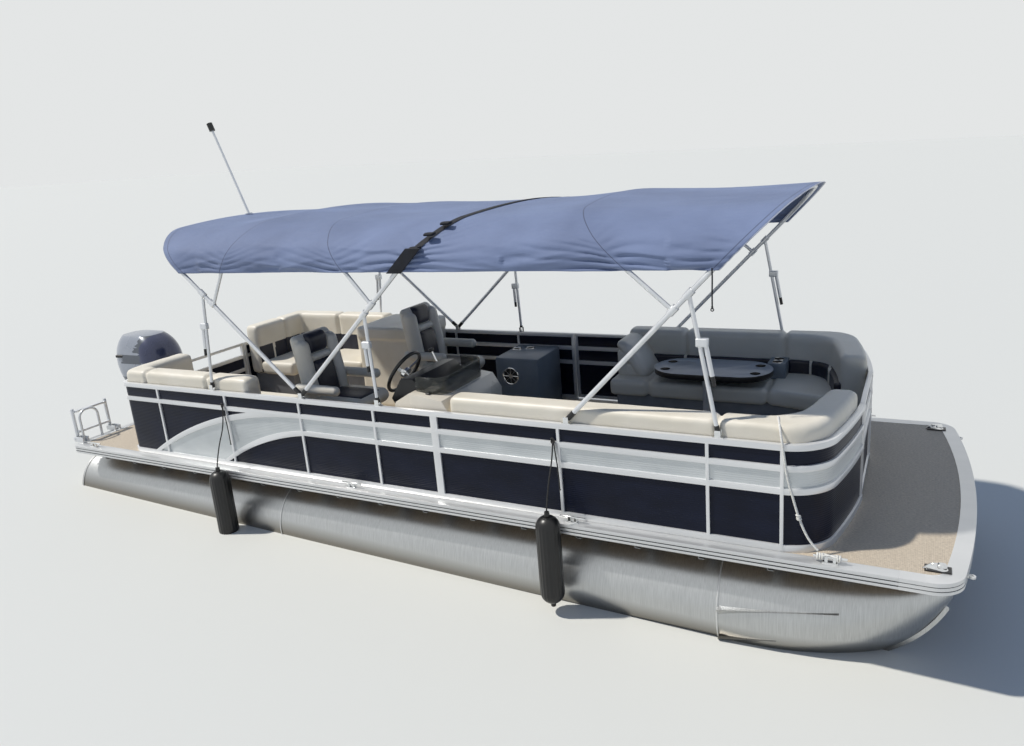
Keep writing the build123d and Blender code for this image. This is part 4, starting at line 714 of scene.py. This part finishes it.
# each gate's name, the axis that it looks along and its sheet's place on that axis
gates = {
    "bow_gate": {"name": "bowGate", "axis": 0, "skin": 3.095},
    "side_gate": {"name": "sideGate", "axis": 1, "skin": 1.189},
    "stern_gate": {"name": "sternGate", "axis": 0, "skin": -3.033},
}


def onSheet(row, place, normal):
    return abs(place[row["axis"]] - row["skin"]) <= fence["slack"] and abs(normal[row["axis"]]) >= 0.9


def gatePaint(row, place, normal):
    # a silver band between two rails on the outside, and navy on the rest of the sheet
    if not onSheet(row, place, normal):
        return 0
    low, high = fence["rows"]
    return 2 if low < place.z < high and normal[row["axis"]] * row["skin"] > 0 else 1


def openTopRow(bm):
    # the stern gate has no sheet between its two upper rails
    row = gates["stern_gate"]
    sheet = [face for face in bm.faces if face.calc_center_median().z > fence["topRow"]
             and onSheet(row, face.calc_center_median(), face.normal)]
    edges = {edge for face in sheet for edge in face.edges}
    edges = [edge for edge in edges if len([face for face in edge.link_faces if face in sheet]) == 1]
    bmesh.ops.delete(bm, geom=sheet, context="FACES")
    bmesh.ops.bridge_loops(bm, edges=[edge for edge in edges if edge.is_valid])


for node, row in gates.items():
    dress(node, row["name"], "railAluminium", 0.002, paintsMore=("navyPanel", "silverPanel"),
          rule=lambda place, normal, look=row: gatePaint(look, place, normal),
          extra=openTopRow if node == "stern_gate" else None)

# rim: inside this radius the wheel is all spokes
wheel = {"centre": Vector((-0.150, -0.770, 1.385)), "tilt": math.radians(32), "rim": 0.158}
wheelAxis = Vector((-math.cos(wheel["tilt"]), 0, math.sin(wheel["tilt"])))


def wheelPaint(place, normal):
    # bright spokes inside a black rim
    away = place - wheel["centre"]
    return 1 if (away - wheelAxis * away.dot(wheelAxis)).length < wheel["rim"] else 0


dress("steering_wheel", "steeringWheel", "blackPlastic", paintsMore=("chrome",), rule=wheelPaint)

cowl = {
    # heights where the silver and the stripe begin, and the stripe's edges along x, which run forward
    # as they rise
    "foot": 0.93, "band": 1.10, "aftEdge": -4.245, "foreEdge": -4.165, "slant": 0.55,
    # the intakes' place, half size, edge and turn
    "slot": (-4.360, 0.226, 1.165), "slotHalf": (0.085, 0.018, 0.016), "slotEdge": 0.012, "slotTurn": 0.20,
}


def cowlPaint(place, normal):
    # slate below, silver round the middle and aft, indigo over the front, with a slate stripe between
    shift = (place.z - cowl["band"]) * cowl["slant"]
    if place.z < cowl["foot"]:
        return 0
    if cowl["aftEdge"] + shift < place.x < cowl["foreEdge"] + shift and place.z > cowl["band"]:
        return 0
    return 2 if place.x > cowl["foreEdge"] + shift and place.z > cowl["band"] else 1


def cowlSlots(bm):
    # air intakes low on the aft quarters
    x, y, z = cowl["slot"]
    for hand in (-1, 1):
        turn = -hand * cowl["slotTurn"]
        pillow(bm, (x, hand * y, z), cowl["slotHalf"], cowl["slotEdge"], index=3, turn=turn)


dress("outboard_cowl", "outboardCowl", "slatePaint", 0.0, 40, ("silverPaint", "indigoPaint", "blackPlastic"),
      cowlPaint, cowlSlots)

braces = {
    # x at the foot, x and height at the top, the bow that carries it, and the slider's side
    # sleeve and cap: the jaw's radius and length, and the foot's share and radius
    # slider and end: shares of the strut, and of the slider where its black end is
    "rows": ((-1.853, -1.763, 2.070, "rearAft", -1), (-0.117, -0.138, 1.930, "rearFore", -1),
             (2.376, 2.222, 2.101, "frontMain", 1)),
    "y": 1.180, "foot": 1.267, "radius": 0.013, "sleeve": (0.023, 0.060), "cap": (0.06, 0.015),
    "slider": (0.42, 0.66), "sliderRadius": 0.014, "off": 0.036, "end": (-0.30, 0.02), "endRadius": 0.0125,
    "bracket": (0.036, 0.019, 0.026),
}


def makeBraces():
    # a strut from the rail to its bow, a jaw round the bow, and a slider with a black end
    bm = bmesh.new()
    capShare, capRadius = braces["cap"]
    for footX, topX, height, bow, hand in braces["rows"]:
        for side in (-1, 1):
            y = side * braces["y"]
            foot, top = Vector((footX, y, braces["foot"])), Vector((topX, y, height))
            barrel(bm, foot, top, braces["radius"], 0, 24)
            barrel(bm, foot, foot.lerp(top, capShare), capRadius, 1, 24)
            lean = Vector((bowLines[bow][2], 0, 1)).normalized() * braces["sleeve"][1] / 2
            barrel(bm, top - lean, top + lean, braces["sleeve"][0], 0, 24)
            aside = Vector((hand * braces["off"], 0, 0))
            low, high = (foot.lerp(top, share) + aside for share in braces["slider"])
            barrel(bm, low, high, braces["sliderRadius"], 0, 20)
            start, end = (low.lerp(high, share) for share in braces["end"])
            barrel(bm, start, end, braces["endRadius"], 1, 20)
            pillow(bm, high - aside * 0.5, braces["bracket"], 0.008)
    finishPiece("topBraces", bm, "bowTube", "boat", ("top_braces",), 32,
                ("blackPlastic",))


# the main bows' feet along x, and how far up each its socket runs
sockets = {"feet": ((-0.860, "rearFore"), (-0.860, "rearAft"), (1.405, "frontMain")), "span": (0.014, 0.080),
           "radius": 0.0175}


def bowEnds(bm):
    # black sockets over the feet of the main bows
    for footX, bow in sockets["feet"]:
        for side in (-1, 1):
            foot = Vector((footX, side * braces["y"], braces["foot"]))
            along = Vector((bowLines[bow][2], 0, 1)).normalized()
            low, high = (foot + along * reach for reach in sockets["span"])
            barrel(bm, low, high, sockets["radius"], 1, 24)


makeBraces()
dress("top_main_bows", "topMainBows", "bowTube", paintsMore=("blackPlastic",), extra=bowEnds)

lampFoot = 3.395  # the pole is black from here up
dress("light_pole", "lightPole", "bowTube", paintsMore=("blackPlastic",),
      rule=lambda place, normal: int(place.z > lampFoot))

boot = {
    # the places are to the side and up; a flap and a loop have half size, edge, swell and paint
    "bow": "rearFore", "flapAt": (1.2065, 2.314), "flap": ((0.062, 0.004, 0.085), 0.003, (0, 0.004, 0), 0),
    "loops": ((1.178, 2.395), (1.120, 2.480), (1.000, 2.538)),
    "loop": ((0.038, 0.024, 0.009), 0.008, (0.003, 0.003, 0.003), 0), "loopLean": -0.6,
}


def bootFlaps(bm):
    # a flap at each foot of the strap, and loops of webbing along it
    slope = bowLines[boot["bow"]][2]
    for hand in (-1, 1):
        y, z = boot["flapAt"]
        pillow(bm, (alongBow(boot["bow"], z), hand * y, z), *boot["flap"], -slope)
        for y, z in boot["loops"]:
            pillow(bm, (alongBow(boot["bow"], z), hand * y, z), *boot["loop"], boot["loopLean"])


dress("canopy_boot", "canopyBoot", "webbing", extra=bootFlaps)

console = {
    # each form's place, half size, edge, swell and paint
    "hatch": ((0.235, -0.985, 1.334), (0.075, 0.080, 0.012), 0.008),
    "latch": ((0.277, -1.088, 1.3325), (0.018, 0.012, 0.010), 0.006, (0, 0, 0), 1),
    "throttle": ((-0.030, -0.445, 1.345), (0.050, 0.022, 0.022), 0.015, (0, 0, 0), 2),
    "knob": ((-0.084, -0.471, 1.485), (0.016, 0.026, 0.016), 0.014, (0, 0, 0), 1),
    # from the throttle's box up to its knob, with its radius, paint and sides
    "lever": ((-0.030, -0.465, 1.355), (-0.080, -0.469, 1.475), 0.008, 2, 16),
}


def consoleFittings(bm):
    # a hatch with its latch on the fore slope, and the throttle beside the wheel
    pillow(bm, *console["hatch"])
    pillow(bm, *console["latch"])
    pillow(bm, *console["throttle"])
    barrel(bm, *console["lever"])
    pillow(bm, *console["knob"])


dress("helm_console", "helmConsole", "consolePlastic", 0.028, paintsMore=("blackPlastic", "chrome"),
      extra=consoleFittings)

cabinet = {
    # a spoke's near end, far end and thickness
    "speaker": (0.011, 0.650, 0.945), "radius": 0.078, "rim": 0.006, "hub": 0.022, "spokes": 8,
    "spoke": (0.020, 0.076, 0.003),
    "cups": ((-0.080, 0.980), (0.040, 1.030)), "top": 1.120, "cupRim": (0.042, 0.004), "cupRadius": 0.040,
}


def cabinetFittings(bm):
    # a round loudspeaker in the side that faces the aisle, and two cups in the top
    x, y, z = cabinet["speaker"]
    hoopRing(bm, (x, y - 0.001, z), (0, 1, 0), cabinet["radius"], cabinet["rim"], 1)
    barrel(bm, (x, y + 0.004, z), (x, y - 0.003, z), cabinet["radius"], 2, 32)
    barrel(bm, (x, y, z), (x, y - 0.006, z), cabinet["hub"], 1)
    near, far, thick = cabinet["spoke"]
    for number in range(cabinet["spokes"]):
        turn = 2 * math.pi * number / cabinet["spokes"]
        reach = Vector((math.cos(turn), 0, math.sin(turn)))
        middle = Vector((x, y - 0.004, z))
        barrel(bm, middle + reach * near, middle + reach * far, thick, 1, 8)
    top = cabinet["top"]
    for x, y in cabinet["cups"]:
        hoopRing(bm, (x, y, top + 0.001), (0, 0, 1), *cabinet["cupRim"], 1)
        barrel(bm, (x, y, top - 0.002), (x, y, top + 0.0015), cabinet["cupRadius"], 2, 28)


dress("port_console", "portCabinet", "greyPlastic", 0.02, paintsMore=("chrome", "blackPlastic"),
      extra=cabinetFittings)

# the two cup holes beside the port seat: floor and mouth are the heights between which they are dark
cups = {"x": 2.382, "ys": (0.850, 0.942), "top": 1.150, "floor": 1.112, "mouth": 1.1492, "reach": 0.043,
        "rim": (0.0405, 0.0025)}


def cupPaint(place, normal):
    # the holes' walls and floors are dark
    beside = abs(place.x - cups["x"]) < cups["reach"] and (
        min(abs(place.y - y) for y in cups["ys"]) < cups["reach"])
    return int(beside and cups["floor"] < place.z < cups["mouth"])


def cupRims(bm):
    # a bright ring round each hole
    for y in cups["ys"]:
        hoopRing(bm, (cups["x"], y, cups["top"]), (0, 0, 1), *cups["rim"], 2)


dress("cup_console", "cupConsole", "greyPlastic", 0.008, paintsMore=("blackPlastic", "chrome"), rule=cupPaint,
      extra=cupRims)

# the cups' places are from the table's middle, and mirrored
table = {"centre": (1.915, 0.596), "foot": 1.10, "top": 1.150, "cups": ((0.36, 0.113), (0.36, -0.113)),
         "cupRadius": 0.0405, "inlay": (0.27, 0.155), "inlayCorner": 0.06, "inlayLine": 0.004}


def tablePaint(place, normal):
    # a grey top in a thick dark rim; the cup holes are dark, and the post is bright
    if place.z < table["foot"]:
        return 2
    away = Vector((abs(place.x - table["centre"][0]), place.y - table["centre"][1]))
    inCup = any((away - Vector(cup)).length < table["cupRadius"] for cup in table["cups"])
    return 0 if normal.z > 0.8 and place.z > table["top"] - 0.001 and not inCup else 1


def tableInlay(bm):
    # a fine line round the middle of the top
    made = bmesh.ops.create_grid(bm, x_segments=1, y_segments=1, size=1)["verts"]
    (x, y), across = table["centre"], Vector(table["inlay"])
    for vert in made:
        vert.co = (x + vert.co.x * across.x, y + vert.co.y * across.y, table["top"] + 0.0006)
    cut = bmesh.ops.bevel(bm, geom=list(made), offset=table["inlayCorner"], segments=1, affect="VERTICES",
                          profile=0.5, material=-1)
    around = [face for vert in cut["verts"] for face in vert.link_faces]
    whole = max(around, key=lambda face: face.calc_area())
    bmesh.ops.inset_region(bm, faces=[whole], thickness=table["inlayLine"])
    bmesh.ops.delete(bm, geom=[whole], context="FACES")


dress("bow_table", "bowTable", "tableTop", 0.005, paintsMore=("blackPlastic", "trimAluminium"),
      rule=tablePaint, extra=tableInlay)
print("rigid pieces dressed")


# Cushions

# passes: smoothing for each square voxel of rounding; crown: how far the faces swell; width, depth: a seam's;
# wrinkles: how fine and how deep; slack: how far a cushion may pass its solid; flat: degrees up to which
# faces join; fill: how full it is
cushionLook = {
    "voxel": 0.012, "rounding": 0.05, "passes": 0.9, "crown": 0.014, "width": 0.05, "depth": 0.014,
    "seams": (), "wrinkles": ((6, 0.004), (17, 0.0012)), "slack": 0.008, "flat": 1, "fill": 0.7,
}


def puff(node, name, paint, row, paintsMore=(), rule=None):
    # a padded piece: rounded, swollen between its seams; a seam is an axis, a place and a side
    look = {**cushionLook, **row}
    bm = copyOfNode(node)
    bmesh.ops.dissolve_limit(bm, angle_limit=math.radians(look["flat"]), verts=bm.verts, edges=bm.edges)
    piece = finishPiece(name, bm, paint, bodyOfNode[node], (node,), 180)
    addModifier(piece, "REMESH", mode="VOXEL", voxel_size=look["voxel"], use_smooth_shade=True)
    applyModifiers(piece)
    bm = bmesh.new()
    bm.from_mesh(piece.data)
    for _ in range(int((look["rounding"] / look["voxel"]) ** 2 * look["passes"])):
        bmesh.ops.smooth_vert(bm, verts=bm.verts, factor=0.5, use_axis_x=True, use_axis_y=True,
                              use_axis_z=True)
    bm.normal_update()
    low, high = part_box(node)
    moved = []
    for vert in bm.verts:
        push = look["crown"]
        for axis, place, hand in look["seams"]:
            if hand and vert.co.y * hand < 0:
                continue
            gap = abs(vert.co["xyz".index(axis)] - place)
            if gap < look["width"]:
                push -= (look["crown"] + look["depth"]) * (1 - gap / look["width"]) ** 2
        wrinkle = sum(noise.noise(vert.co * fine) * deep for fine, deep in look["wrinkles"])
        moved.append(vert.co + vert.normal * (push + wrinkle))
    for vert, place in zip(bm.verts, moved):
        vert.co = [min(max(place[i], low[i] - look["slack"]), high[i] + look["slack"]) for i in range(3)]
    bm.to_mesh(piece.data)
    bm.free()
    for extra in paintsMore:
        piece.data.materials.append(paints[extra])
    for face in piece.data.polygons:
        face.use_smooth = True
        if rule:
            face.material_index = rule(face.center, face.normal)


# each seam's axis, its place and the side that it is on
cushions = {
    "bowBacks": {"node": "bow_lounge_backs", "rounding": 0.07, "crown": 0.016,
                 "seams": (("x", 1.590, 1), ("x", 2.412, 1), ("x", 2.365, -1))},
    "bowSeats": {"node": "bow_lounge_seats", "voxel": 0.014, "rounding": 0.04,
                 "seams": (("x", 1.400, 1), ("x", 2.360, 1), ("x", 1.300, -1), ("x", 2.360, -1))},
    "aftBacks": {"node": "aft_lounge_backs", "rounding": 0.07, "crown": 0.016,
                 "seams": (("x", -2.300, 1), ("x", -2.725, -1), ("x", -1.950, -1), ("y", 0.75, 1))},
    "aftSeats": {"node": "aft_lounge_seats", "voxel": 0.014, "rounding": 0.04,
                 "seams": (("x", -2.300, 1), ("x", -2.200, -1))},
    "storageBox": {"node": "storage_box", "rounding": 0.03, "crown": 0.004},
}
# y, top: the band is to port of one and below the other; pitch, half: its stripes' spacing and half width
aftBand = {"y": 0.33, "top": 1.20, "pitch": 0.42, "half": 0.014}


def aftBackPaint(place, normal):
    # a dark band along the foot of the port back, crossed by pale stripes
    band = place.y > aftBand["y"] and place.z < aftBand["top"] and (normal.y < -0.6 or normal.x > 0.6)
    stripe = abs((place.x + place.y) % aftBand["pitch"] - aftBand["pitch"] / 2) < aftBand["half"]
    return int(band and not stripe)


for name, row in cushions.items():
    puff(row["node"], name, "creamVinyl", row, ("navyVinyl",), aftBackPaint if name == "aftBacks" else None)

# stripes and half: their places along x and half width
bolsters = {"voxel": 0.008, "rounding": 0.02, "crown": 0.003, "half": 0.010,
            "stripes": (1.593, 2.420, 2.622, 2.782)}


def bolsterPaint(place, normal):
    # pale stripes across the dark roll
    return int(place.y > 0 and any(abs(place.x - x) < bolsters["half"] for x in bolsters["stripes"]))


puff("bow_bolsters", "bowBolsters", "navyVinyl", bolsters, ("creamVinyl",), bolsterPaint)

# each form's place, half size, edge, swell, paint and lean
bowEnd = {
    "rest": ((1.220, 0.820, 1.165), (0.060, 0.200, 0.155), 0.045, (0.012, 0.006, 0.006), 0, 0.62),
    "panel": ((1.135, 0.820, 1.130), (0.050, 0.195, 0.120), 0.035, (0.004, 0.004, 0.004)),
    "wedge": ((1.190, 0.820, 1.075), (0.080, 0.190, 0.065), 0.030, (0.004, 0.004, 0.004)),
}


def makeBowEnd():
    # the padded rest that closes the port bow lounge, leaning aft as it rises
    bm = bmesh.new()
    for form in bowEnd.values():
        pillow(bm, *form)
    piece = finishPiece("bowEndRest", bm, "creamVinyl", "boat", (), 60)


makeBowEnd()

backLean = 0.15
chairs = {
    "places": {"helm": (-0.880, -0.620), "passenger": (-0.560, 0.500)}, "floor": 0.966,
    # each form's middle from the place and the floor, half size, edge, swell, paint, lean and turn: a plate,
    # the cushion and its dark middle
    "Seat": (
        ((0.0, 0, 0.022), (0.145, 0.145, 0.020), 0.015, (0, 0, 0), 1),
        ((0.02, 0, 0.090), (0.248, 0.236, 0.052), 0.045, (0.006, 0.004, 0.014), 0),
        ((0.03, 0, 0.110), (0.222, 0.150, 0.042), 0.035, (0.004, 0.0, 0.012), 2),
    ),
    # the shell, a wing and an arm on each side, the head, a pale strip and the dark middle
    "Back": (
        ((-0.292, 0, 0.384), (0.042, 0.222, 0.285), 0.040, (0.010, 0.004, 0.004), 0, backLean),
        ((-0.250, -0.176, 0.372), (0.062, 0.058, 0.262), 0.050, (0.008, 0.004, 0.004), 0, backLean, -0.12),
        ((-0.085, -0.272, 0.250), (0.228, 0.035, 0.037), 0.030, (0.004, 0.003, 0.005), 0),
        ((-0.250, 0.176, 0.372), (0.062, 0.058, 0.262), 0.050, (0.008, 0.004, 0.004), 0, backLean, 0.12),
        ((-0.085, 0.272, 0.250), (0.228, 0.035, 0.037), 0.030, (0.004, 0.003, 0.005), 0),
        ((-0.298, 0, 0.584), (0.056, 0.122, 0.088), 0.045, (0.008, 0.004, 0.004), 2),
        ((-0.27475, 0, 0.469), (0.052, 0.120, 0.030), 0.022, (0.006, 0.0, 0.004), 0),
        ((-0.23925, 0, 0.279), (0.054, 0.120, 0.165), 0.040, (0.010, 0.0, 0.004), 2, backLean),
    ),
}


def makeChair(kind):
    place = Vector((*chairs["places"][kind], chairs["floor"]))
    for part in ("Seat", "Back"):
        bm = bmesh.new()
        for offset, *shape in chairs[part]:
            pillow(bm, place + Vector(offset), *shape)
        piece = finishPiece(kind + "Chair" + part, bm, "creamVinyl", kind + "_chair",
                            (kind + "_chair_" + part.lower(),), 40, ("blackPlastic", "navyVinyl"))


for kind in chairs["places"]:
    makeChair(kind)
print("cushions filled")


# Canopies

canopies = {
    # past: how far the cloth runs beyond its first and last bow
    "front": {"node": "front_canopy", "bows": ("rearFore", "frontSecond", "frontMain"),
              "past": (0.005, 0.051)},
    "rear": {"node": "rear_canopy", "bows": ("rearAft", "rearSecondAft", "rearSecondFore", "rearFore"),
             "past": (-0.023, -0.005)},
    # the grid and the cloth; reach: beyond the cloth from its middle; crowding: how much closer the grid is
    # at the lower edges; stray and kink: farther off than these, a point is a mistake; step: how far the
    # search comes down where it misses the cloth; inset: the share of the length left free at each end
    "low": 2.236, "above": 0.0005, "across": 190, "along": 110, "thick": 0.003, "rays": 720, "reach": 2.0,
    "crowding": 0.62, "stray": 0.06, "kink": 0.035, "step": 0.008, "inset": 0.002,
    # sag: between two bows, less below the height where the roof starts; edge: how far up the creases reach
    "sag": 0.024, "roof": (2.40, 0.15), "longest": 1.2, "fold": 0.040, "ripple": 0.007, "edge": 0.13,
    "most": 0.030, "least": -0.006,
    # creases: how often they come along x, with height there, across and upwards, and their slant
    # ripples: how often they come along x, y and z
    "creases": (1.1, 0.5, 0.5, 17, 1.6), "ripples": (2.3, 2.1, 4),
}
folds = {
    # spacing: at a bow, and more for each metre from it; wander: how often and how strongly;
    # patches: how often, how strong at the mean and how strongly they differ, between the limits
    "depth": 0.030, "spacing": (0.034, 0.085), "wander": (1.6, 1.3), "patches": (2.4, 0.55, 1.3),
    "limits": (0.1, 1.2),
    # how the folds fade towards a bow, away from it and up the cloth
    "near": 0.06, "far": 0.5, "up": 0.13,
}


def archOutline(tree, x, count):
    # even places round the arch, by length
    middle, places = Vector((x, 0, canopies["low"] + canopies["above"])), []
    reach = canopies["reach"]
    for step in range(canopies["rays"] + 1):
        turn = math.pi * step / canopies["rays"]
        aim = Vector((0, math.cos(turn), math.sin(turn)))
        hit = tree.ray_cast(middle + aim * reach, -aim, reach)[0]
        if hit:
            places.append(hit)
    lengths = [0.0]
    for first, second in zip(places, places[1:]):
        lengths.append(lengths[-1] + (second - first).length)
    outline, number = [], 0
    for step in range(count):
        turn = 2 * math.pi * step / (count - 1)
        target = lengths[-1] * (turn - canopies["crowding"] * math.sin(turn)) / (2 * math.pi)
        while number < len(places) - 2 and lengths[number + 1] < target:
            number += 1
        span = max(lengths[number + 1] - lengths[number], 1e-9)
        outline.append(places[number].lerp(places[number + 1], (target - lengths[number]) / span))
    return outline


def layOnCloth(tree, row, mark, share):
    # the place on the cloth at a share of the way forward, and where its bows stand at that height
    low, reach = canopies["low"], canopies["reach"]
    aim = Vector((0, mark.y, mark.z - low + canopies["above"])).normalized()
    height = mark.z
    for _ in range(4):  # the cloth's ends lean, so the place along x follows the height that is found
        crossings = [alongBow(bow, height) for bow in row["bows"]]
        aft, fore = crossings[0] + row["past"][0], crossings[-1] + row["past"][1]
        x = aft + (fore - aft) * (canopies["inset"] + (1 - 2 * canopies["inset"]) * share)
        meant = Vector((x, mark.y, height))
        hit = tree.ray_cast(Vector((x, 0, low)) + aim * reach, -aim, reach)[0]
        height = hit.z if hit else height - canopies["step"]
    if hit is None or (hit - meant).length > canopies["stray"]:
        hit = tree.find_nearest(meant)[0]
    return hit, x, crossings, Vector((0, -aim.y, -aim.z))


def fanFold(x, y, rise, crossings):
    # tight folds along the lower edge, that open out as they leave a bow
    gap = min(abs(x - crossing) for crossing in crossings)
    often, strong = folds["wander"]
    wander = noise.noise(Vector((x * often, math.copysign(4, y), 3))) * strong
    close, wider = folds["spacing"]
    ridge = (0.5 + 0.5 * math.cos(2 * math.pi * (rise / (close + wider * gap) + wander))) ** 2
    often, mean, strong = folds["patches"]
    weakest, strongest = folds["limits"]
    patch = mean + strong * noise.noise(Vector((x * often, y, rise * 3 + 11)))
    patch = min(max(patch, weakest), strongest)
    fade = min(gap / folds["near"], 1) * math.exp(-gap / folds["far"]) * math.exp(-rise / folds["up"])
    return folds["depth"] * ridge * patch * fade


def clothPull(x, mark, crossings):
    # how far the cloth comes in: its sag between two bows, creases and folds at its edge, and ripples
    number = max([i for i in range(len(crossings) - 1) if crossings[i] <= x] or [0])
    span = crossings[number + 1] - crossings[number]
    between = min(max((x - crossings[number]) / span, 0.0), 1.0)
    free = math.sin(math.pi * between)
    start, over = canopies["roof"]
    roof = min(max((mark.z - start) / over, 0.15), 1.0)
    sag = canopies["sag"] * free * roof * min(span, canopies["longest"])
    rise = mark.z - canopies["low"]
    ahead, climb, aside, upward, slant = canopies["creases"]
    slant = x * slant * math.copysign(1, between - 0.5)
    fold = Vector((x * ahead + mark.z * climb, mark.y * aside, mark.z * upward - slant))
    fade = math.exp(-rise / canopies["edge"]) * (0.2 + 0.8 * free)
    crease = abs(noise.noise(fold)) * canopies["fold"] * fade
    ahead, aside, upward = canopies["ripples"]
    ripple = noise.noise(Vector((x * ahead, mark.y * aside, mark.z * upward + 7))) * canopies["ripple"] * free
    pull = min(max(crease + ripple, canopies["least"]), canopies["most"])
    return sag + pull + fanFold(x, mark.y, rise, crossings)


def makeCanopy(name):
    # the cloth is laid on a grid, fore and aft by round the arch, pulled down between its bows and creased
    # along its lower edges
    row = canopies[name]
    solid = copyOfNode(row["node"])
    tree = BVHTree.FromBMesh(solid)
    solid.free()
    low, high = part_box(row["node"])
    across = canopies["across"]
    outline = archOutline(tree, (low.x + high.x) / 2, across + 1)
    cloth = bmesh.new()
    bmesh.ops.create_grid(cloth, x_segments=canopies["along"], y_segments=across, size=1)
    for vert in cloth.verts:
        mark = outline[round((vert.co.y + 1) / 2 * across)]
        place, x, crossings, inward = layOnCloth(tree, row, mark, (vert.co.x + 1) / 2)
        vert.co = place + inward * clothPull(x, mark, crossings)
    for _ in range(3):  # a stray point goes back between its neighbours
        for vert in cloth.verts:
            around = [edge.other_vert(vert).co for edge in vert.link_edges]
            mean = sum(around, Vector()) / len(around)
            if (vert.co - mean).length > canopies["kink"]:
                vert.co = mean
    bmesh.ops.recalc_face_normals(cloth, faces=cloth.faces)
    if max(cloth.faces, key=lambda face: face.calc_center_median().z).normal.z < 0:
        bmesh.ops.reverse_faces(cloth, faces=cloth.faces)
    piece = finishPiece(name + "Canopy", cloth, name + "Canvas", "boat", (row["node"],), 60)
    addModifier(piece, "SOLIDIFY", thickness=canopies["thick"], offset=-1, use_even_offset=False)
    applyModifiers(piece)


for name in ("front", "rear"):
    makeCanopy(name)
print("canopies stretched")


# Fenders

fender = {
    "x": (-1.735, 1.310), "y": -1.3782, "middle": (0.290, 0.350), "radius": 0.083, "half": 0.235,
    # neck: inside this radius there are no ribs; ribEnd: how far past the half they run
    "ribs": 20, "ribDepth": 0.018, "neck": 0.03, "ribEnd": 0.02,
    # the eye and the neck: radius, and height above the half; then the shoulder's turns
    "eye": ((0.0, 0.113), (0.016, 0.110), (0.019, 0.090), (0.019, 0.076)),
    "shoulder": (0.35, 0.6, 0.85, 1.1, 1.35),
}


def makeFenders():
    # blow-moulded vinyl, ribbed down its length, with a neck and an eye at each end
    bm = bmesh.new()
    radius, half = fender["radius"], fender["half"]
    for x, z in zip(fender["x"], fender["middle"]):
        profile = [(r, half + above) for r, above in fender["eye"]]
        profile += [(radius * math.sin(turn), half + radius * math.cos(turn)) for turn in fender["shoulder"]]
        profile += [(radius, half), (radius, half * 0.5), (radius, 0.0)]
        profile += [(r, -height) for r, height in profile[-2::-1]]
        verts = [bm.verts.new((x + r, fender["y"], z + height)) for r, height in profile]
        edges = [bm.edges.new(pair) for pair in zip(verts, verts[1:])]
        bmesh.ops.spin(bm, geom=verts + edges, cent=(x, fender["y"], z), axis=(0, 0, 1), angle=2 * math.pi,
                       steps=fender["ribs"] * 4, use_merge=True)
    bmesh.ops.remove_doubles(bm, verts=bm.verts, dist=0.00001)
    for vert in bm.verts:
        x, z = min(zip(fender["x"], fender["middle"]), key=lambda row: abs(row[0] - vert.co.x))
        away = Vector((vert.co.x - x, vert.co.y - fender["y"]))
        if abs(vert.co.z - z) < half + fender["ribEnd"] and away.length > fender["neck"]:
            wave = math.cos(math.atan2(away.y, away.x) * fender["ribs"])
            vert.co.x += away.x * fender["ribDepth"] * (wave - 1)
            vert.co.y += away.y * fender["ribDepth"] * (wave - 1)
    bmesh.ops.recalc_face_normals(bm, faces=bm.faces)
    finishPiece("sideFenders", bm, "rubber", "boat", ("fenders",), 50)


makeFenders()
print("fenders hung")
